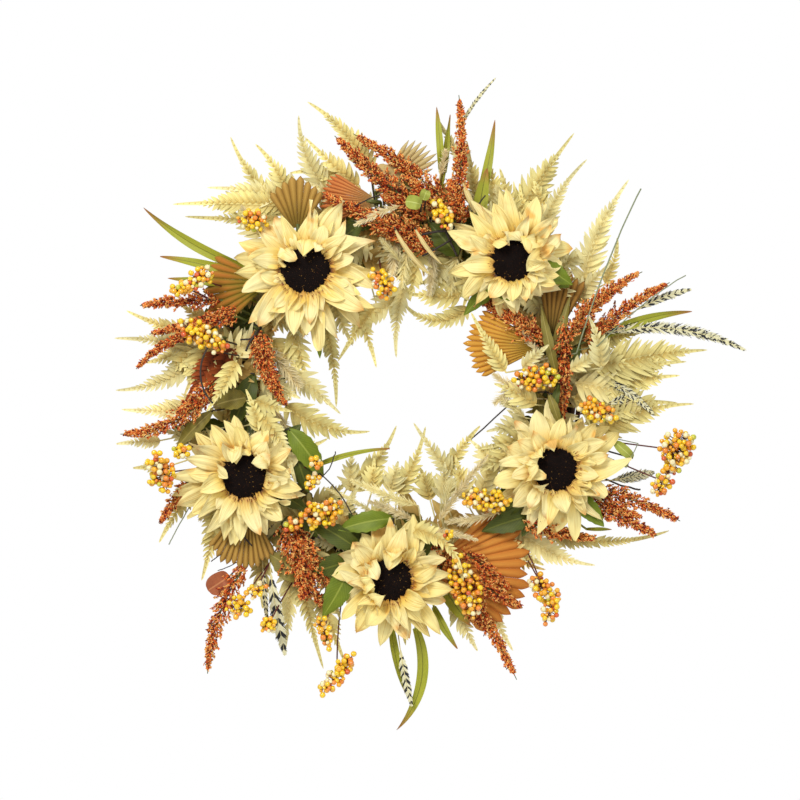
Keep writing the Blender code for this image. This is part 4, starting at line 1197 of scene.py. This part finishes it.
def feather(shape, path, wide, bars, rng):
    """A feather: a pale shaft and rows of separate barbs that sweep towards the tip."""
    shape.tube(path, 0.0007 - 0.0005 * np.linspace(0, 1, len(path)), 5, slot=1)
    along, side, normal = frames(path)
    rows = np.linspace(0, 1, 4)[:, None]
    half = np.array([0.00045, 0.00075, 0.0006, 0.00008])
    for k in range(BARB_ROWS):
        s = 0.30 + 0.69 * k / BARB_ROWS
        root, low = along_path(path, s)
        reach = wide * min(1.0, (s - 0.28) * 7) * min(1.0, (1.02 - s) * 3.2) ** 0.7
        for hand in (-1, 1):
            long = reach * rng.uniform(0.80, 1.15)
            lean = math.radians(rng.normal(38, 5))
            way = math.cos(lean) * along[low] + math.sin(lean) * hand * side[low]
            curl = 0.25 * long * along[low] + rng.normal(0, 0.25) * long * normal[low]
            barb = root + rows * long * 1.5 * way + rows**2 * curl
            shape.sheet(ribbon(barb, half, 2), bars, v_range=(s, s))


def build_feathers():
    for name, rows, shape, rng in picks("feather", FEATHERS):
        for row in rows:
            middle = FEATHER_DEPTH + rng.uniform(0, 0.022)
            tip = FEATHER_DEPTH + rng.uniform(-0.006, 0.012)
            path = route(row, (FEATHER_DEPTH - 0.004, middle, tip), 36)
            feather(shape, path, row[5] / 1000, row[6], rng)
            plant(shape, path, 0.0009, 1)
        shape.finish(f"feather_{name}", [FEATHER, CREAM], [f"feather_pick_{name}"], slot="feather")


def round_leaf(path, width):
    """A nearly round leaf on a short stalk."""
    t = np.linspace(0, 1, len(path))
    wide = width / 2 * np.sqrt(np.clip(1 - (2 * t - 1) ** 2, 0, 1)) ** 0.9 + 0.0003
    return ribbon(path, wide, 9, fold=0.1, cup=0.15, ruffle=0.0005)


def build_grass():
    paints = [BLADE, GREEN, DARK_GREEN, RUST_LEAF, OLIVE_LEAF, ROUND_LEAF, STRAW_LEAF, DARK_STEM, GREY_STEM]
    round_paints = (paints.index(RUST_LEAF), paints.index(ROUND_LEAF))
    stalk_paint = paints.index(DARK_STEM)
    t = np.linspace(0, 1, 30)
    outline = np.sin(math.pi * np.clip(0.10 + 0.90 * t, 0, 1) ** 0.85) ** 0.75
    for name, rows, shape, rng in picks("grass", GRASSES):
        for row in rows:
            middle = GRASS_DEPTH + rng.uniform(-0.004, 0.006)
            tip = GRASS_DEPTH + rng.uniform(-0.010, 0.008)
            path = route(row, (GRASS_DEPTH - 0.006, middle, tip), 30)
            blade = ribbon(
                path, 0.46 * row[5] / 1000 * outline + 0.0003, 9, fold=rng.uniform(0.15, 0.4),
                twist=rng.normal(0, 25), ruffle=0.0006, phase=rng.uniform(0, 6),
            )
            shape.sheet(blade, rng.uniform())
            plant(shape, path, 0.0012)
        for *row, width, lift, slot in LEAVES[name]:
            depth = GRASS_DEPTH + lift / 1000
            path = route(row, (depth - 0.004, depth, depth - 0.004), 24)
            flat = slot in round_paints
            leaf = round_leaf(path, width / 1000) if flat else broad_leaf(path, width / 1000, rng)
            shape.sheet(leaf, rng.uniform(), slot)
            plant(shape, path, 0.0009, stalk_paint)
        for *row, thick, lift, slot in WIRES[name]:
            depth = GRASS_DEPTH + lift / 1000
            path = route(row, (depth - 0.006, depth, depth), 24)
            kinks = np.cumsum(rng.normal(0, 0.0002, path.shape), axis=0) * np.linspace(0, 1, 24)[:, None]
            shape.tube(path + kinks, thick / 1000, 6, rng.uniform(), slot)
            plant(shape, path, thick / 1000, slot)
        nodes = () if name == "left" else [f"grass_pick_{name}"]
        shape.finish(f"grass_{name}", paints, nodes, slot="green_leaf")


# ---------------------------------------------------------------- fan palms

# Name, hub x, z in millimetres from the ring's centre, heading of the middle pleat, opening angle, reach,
# pleats, depth, paint, the share of its reach at which it splits, and whether it has a CAD node.
FANS = (
    ("bottom_right", (32, -190), 355, 98, 0.111, 15, 0.061, "ORANGE", 0.90, True),
    ("right_inner", (158, 50), 178, 58, 0.088, 13, 0.062, "OCHRE", 0.92, True),
    ("right_outer", (163, 48), 80, 40, 0.090, 7, 0.058, "BROWN", 0.90, True),
    ("top", (-22, 207), 175, 58, 0.067, 13, 0.062, "RED", 0.88, True),
    ("left", (-142, 120), 188, 72, 0.076, 9, 0.060, "GREEN", 0.90, True),
    ("bottom_left", (-166, -118), 262, 70, 0.074, 13, 0.060, "TAN", 0.92, True),
    ("behind_upper_left", (-112, 168), 92, 66, 0.066, 8, 0.055, "TAN", 0.90, False),
    ("top_back", (-28, 218), 40, 40, 0.080, 8, 0.052, "BEIGE", 0.78, False),
    ("right_low", (160, 10), 262, 30, 0.060, 4, 0.050, "BROWN", 0.90, False),
)


def fan(shape, hub, heading, opening, reach, pleats, depth, split, rng):
    """A palm fan: folds that deepen outwards and split into points near the rim."""
    t = np.concatenate([np.linspace(0, split, 9), np.linspace(split, 1, 6)[1:]])
    lines = np.arange(2 * pleats + 1)
    across = lines / (2 * pleats)
    crest = lines % 2
    valley = np.tile([1.0, 0.0, 1.0], len(t))
    droop = rng.uniform(-0.010, 0.010)
    for k in range(pleats):
        pick = slice(2 * k, 2 * k + 3)
        angles = np.radians(heading + opening * (across[pick] - 0.5))
        middle = math.radians(heading + opening * (across[2 * k + 1] - 0.5))
        edge = 2 * across[2 * k + 1] - 1
        far = reach * (1.0 - 0.14 * edge**2) * rng.uniform(0.95, 1.03)
        radius = 0.012 + (far - 0.012) * t
        narrow = 1 - 0.95 * np.clip((t - split) / (1 - split), 0, 1) ** 1.3
        turn = middle + (angles[None, :] - middle) * narrow[:, None]
        height = np.where(crest[pick] == 1, 1.0, -1.0)
        fold = 0.0030 * (t**0.7)[:, None] * height[None, :] * narrow[:, None]
        bow = droop * t**2 + 0.006 * np.sin(math.pi * t) + rng.normal(0, 0.0008) * t
        x = hub[0] + radius[:, None] * np.cos(turn)
        z = hub[1] + radius[:, None] * np.sin(turn)
        grid = np.stack([x, -(depth + fold + bow[:, None]), z], axis=-1)
        # Painted shade: each pleat's valley edges get a high tint, which the fan paint turns darker.
        shape.sheet(grid, valley * 0.8 + 0.2 * rng.uniform())


def build_fans():
    for index, row in enumerate(FANS):
        name, hub, heading, opening, reach, pleats, depth, paint, split, has_node = row
        shape = Shape("fan", index)
        hub = spot(*hub)
        fan(shape, hub, heading, opening, reach, pleats, depth, split, shape.rng)
        angle = math.radians(heading)
        end = hub + 0.016 * np.array([math.cos(angle), math.sin(angle)])
        stem = np.array([[hub[0], -depth + 0.004, hub[1]], [end[0], -depth, end[1]]])
        shape.tube(stem, [0.0022, 0.0026], 6, slot=1)
        plant(shape, stem, 0.0018, 1)
        nodes = [f"fan_palm_{name}"] if has_node else ()
        shape.finish(f"fan_{name}", [FAN_PAINTS[paint], GREEN_STEM], nodes, slot="palm_orange")


# ---------------------------------------------------------------- vine ring, ties and hanger


# The vine bundle: twigs to a cane, its half width and half depth, and how far forward its middle lies.
CANE_TWIGS = 34
BUNDLE_HALF_WIDTH = 0.0185
BUNDLE_HALF_DEPTH = 0.0165
BUNDLE_MIDDLE = 0.0215

TIE_CLOCKS = (116, 241, 343)
TIE_TURNS = 3


def build_vine():
    """The ring: many thin twigs, each going part of the way round, with some loose ends."""
    for part, cane in enumerate(CANES):
        shape = Shape("vine", part)
        rng = shape.rng
        for _ in range(CANE_TWIGS):
            start = rng.uniform(0, TURN)
            sweep = rng.uniform(1.6, 4.6)
            count = int(sweep * 16)
            t = np.linspace(0, 1, count)
            angle = np.linspace(start, start + sweep, count)
            offset = rng.uniform(0, TURN)
            far = math.sqrt(rng.uniform(0.05, 1))
            wind = offset + rng.choice([-1, 1]) * rng.uniform(0.3, 1.3) * (angle - start)
            radius = RING_RADIUS + BUNDLE_HALF_WIDTH * far * np.cos(wind)
            radius = radius + 0.0012 * np.sin(9 * angle + offset)
            depth = BUNDLE_MIDDLE + BUNDLE_HALF_DEPTH * far * np.sin(wind)
            depth = depth + 0.0008 * np.sin(11 * angle + 2 * offset)
            loose = smooth((t - 0.93) / 0.07) * rng.uniform(-0.2, 1.0)
            thick = rng.uniform(0.0009, 0.0027)
            path = around_ring(angle, radius + 0.010 * loose, depth)
            shape.tube(path, thick * (1 - 0.6 * t**2), 6, rng.uniform(), v_range=(0, sweep * 1.2))
        shape.finish(f"vine_twigs_{part + 1}", [BARK], [cane], slot="vine")


def flattened(wave):
    """A sine or cosine with broader crests, for a wire pulled tight round a bundle."""
    return np.sign(wave) * np.abs(wave) ** 0.6


def build_ties():
    for index, clock in enumerate(TIE_CLOCKS):
        shape = Shape("tie", index)
        turn = np.linspace(0, TURN * TIE_TURNS, TIE_TURNS * 28)
        angle = math.radians(clock) + 0.010 * (turn / TURN - TIE_TURNS / 2)
        radius = RING_RADIUS + 0.0222 * flattened(np.cos(turn))
        depth = 0.0205 + 0.0185 * flattened(np.sin(turn))
        shape.tube(around_ring(angle, radius, depth), 0.0007, 6)
        shape.finish(f"tie_wire_{index + 1}", [STEEL], [f"wire_tie_{index + 1}"], slot="tie_wire")


def corners(node):
    return (np.array(corner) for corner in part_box(node))


def build_hanger():
    low, high = corners("hanger_ring")
    middle = (low + high) / 2
    wire = (high[1] - low[1]) / 2
    radius = (high[2] - low[2]) / 2 - wire
    ring = Shape("hanger")
    turn = circle(96)[:, None]
    around = circle(14)[None, :]
    out = radius + wire * np.cos(around)
    y = middle[1] + wire * np.sin(around) + 0 * turn
    grid = np.stack([middle[0] + out * np.cos(turn), y, middle[2] + out * np.sin(turn)], axis=-1)
    ring.sheet(np.concatenate([grid, grid[:1]]), closed=True, v_range=(0, 6))
    ring.finish("hanging_ring", [STEEL], ["hanger_ring"], body="hanger", slot="steel")

    low, high = corners("hanger_staple")
    wire = (high[0] - low[0]) / 2
    eye = (high[2] - low[2]) / 2 - wire
    centre_z = (high[2] + low[2]) / 2
    turn = np.linspace(-math.pi / 2, math.pi / 2, 15)
    crown = high[1] - wire - eye
    bend = np.stack([0 * turn, crown + eye * np.cos(turn), centre_z + eye * np.sin(turn)], axis=1)
    legs = [[[0, low[1], centre_z - eye]], bend, [[0, low[1], centre_z + eye]]]
    staple = Shape("hanger", 1)
    staple.tube(np.concatenate(legs), wire, 10)
    staple.finish("staple", [STEEL], ["hanger_staple"], slot="steel")


# ---------------------------------------------------------------- stage


# The camera: how far it stands from the wreath, the depth it aims at, and the width it sees there.
CAMERA_DISTANCE = 3.0
AIM_DEPTH = 0.06
VIEW_WIDTH = 0.8727
SENSOR_WIDTH = 36.0
FLOOR_RADIUS = 0.5
FLOOR_HEIGHT = -0.75
WHITE = (1.0, 1.0, 1.0, 1.0)
SKY_STRENGTH = 0.62


def build_floor(scene):
    mesh = bpy.data.meshes.new("floor")
    rim = [(FLOOR_RADIUS * math.cos(a), FLOOR_RADIUS * math.sin(a), FLOOR_HEIGHT) for a in circle(64)]
    mesh.from_pydata(rim, [], [list(range(64))])
    paint = Paint("floor_pale", 0.8)
    colour = paint.mix(paint.noise(paint.place, 3.0), (0.93, 0.93, 0.93), (0.95, 0.95, 0.95))
    mesh.materials.append(paint.done(colour))
    floor = bpy.data.objects.new("floor", mesh)
    scene.collection.objects.link(floor)


def build_sky(scene):
    """A soft white light from all round; the camera itself sees plain white."""
    scene.world = bpy.data.worlds.new("studio")
    scene.world.use_nodes = True
    tree = scene.world.node_tree
    background = tree.nodes["Background"]
    seen = tree.nodes.new("ShaderNodeBackground")
    for node, strength in ((background, SKY_STRENGTH), (seen, 1.0)):
        node.inputs["Color"].default_value = WHITE
        node.inputs["Strength"].default_value = strength
    path = tree.nodes.new("ShaderNodeLightPath")
    blend = tree.nodes.new("ShaderNodeMixShader")
    tree.links.new(path.outputs["Is Camera Ray"], blend.inputs[0])
    tree.links.new(background.outputs[0], blend.inputs[1])
    tree.links.new(seen.outputs[0], blend.inputs[2])
    tree.links.new(blend.outputs[0], tree.nodes["World Output"].inputs[0])


def build_lamps(scene):
    for name, place, size, power in (
        ("key", (-0.9, -2.2, 1.1), 0.9, 45.0),
        ("fill", (1.6, -2.0, 0.2), 1.4, 10.0),
        ("back", (0.4, 2.2, 1.4), 1.2, 20.0),
    ):
        light = bpy.data.lights.new(name, "AREA")
        light.size = size
        light.energy = power
        lamp = bpy.data.objects.new(name, light)
        lamp.location = place
        aim = np.array([0.0, -0.05, CENTRE_Z]) - np.array(place)
        yaw = math.atan2(aim[1], aim[0]) - math.pi / 2
        pitch = math.atan2(aim[2], math.hypot(aim[0], aim[1]))
        lamp.rotation_euler = (math.pi / 2 + pitch, 0, yaw)
        scene.collection.objects.link(lamp)


def build_camera(scene):
    view = bpy.data.cameras.new("camera")
    view.sensor_width = SENSOR_WIDTH
    view.lens = SENSOR_WIDTH * CAMERA_DISTANCE / VIEW_WIDTH
    camera = bpy.data.objects.new("camera", view)
    camera.location = (CENTRE_X - 0.001, -AIM_DEPTH - CAMERA_DISTANCE, CENTRE_Z - 0.0087)
    camera.rotation_euler = (math.pi / 2, 0, 0)
    scene.collection.objects.link(camera)
    scene.camera = camera
    scene.view_settings.view_transform = "Standard"


for build in (build_floor, build_sky, build_lamps, build_camera):
    build(bpy.context.scene)
build_vine()
build_ties()
build_hanger()
build_ferns()
build_feathers()
build_grass()
build_fans()
build_grain()
build_berries()
build_sunflowers()
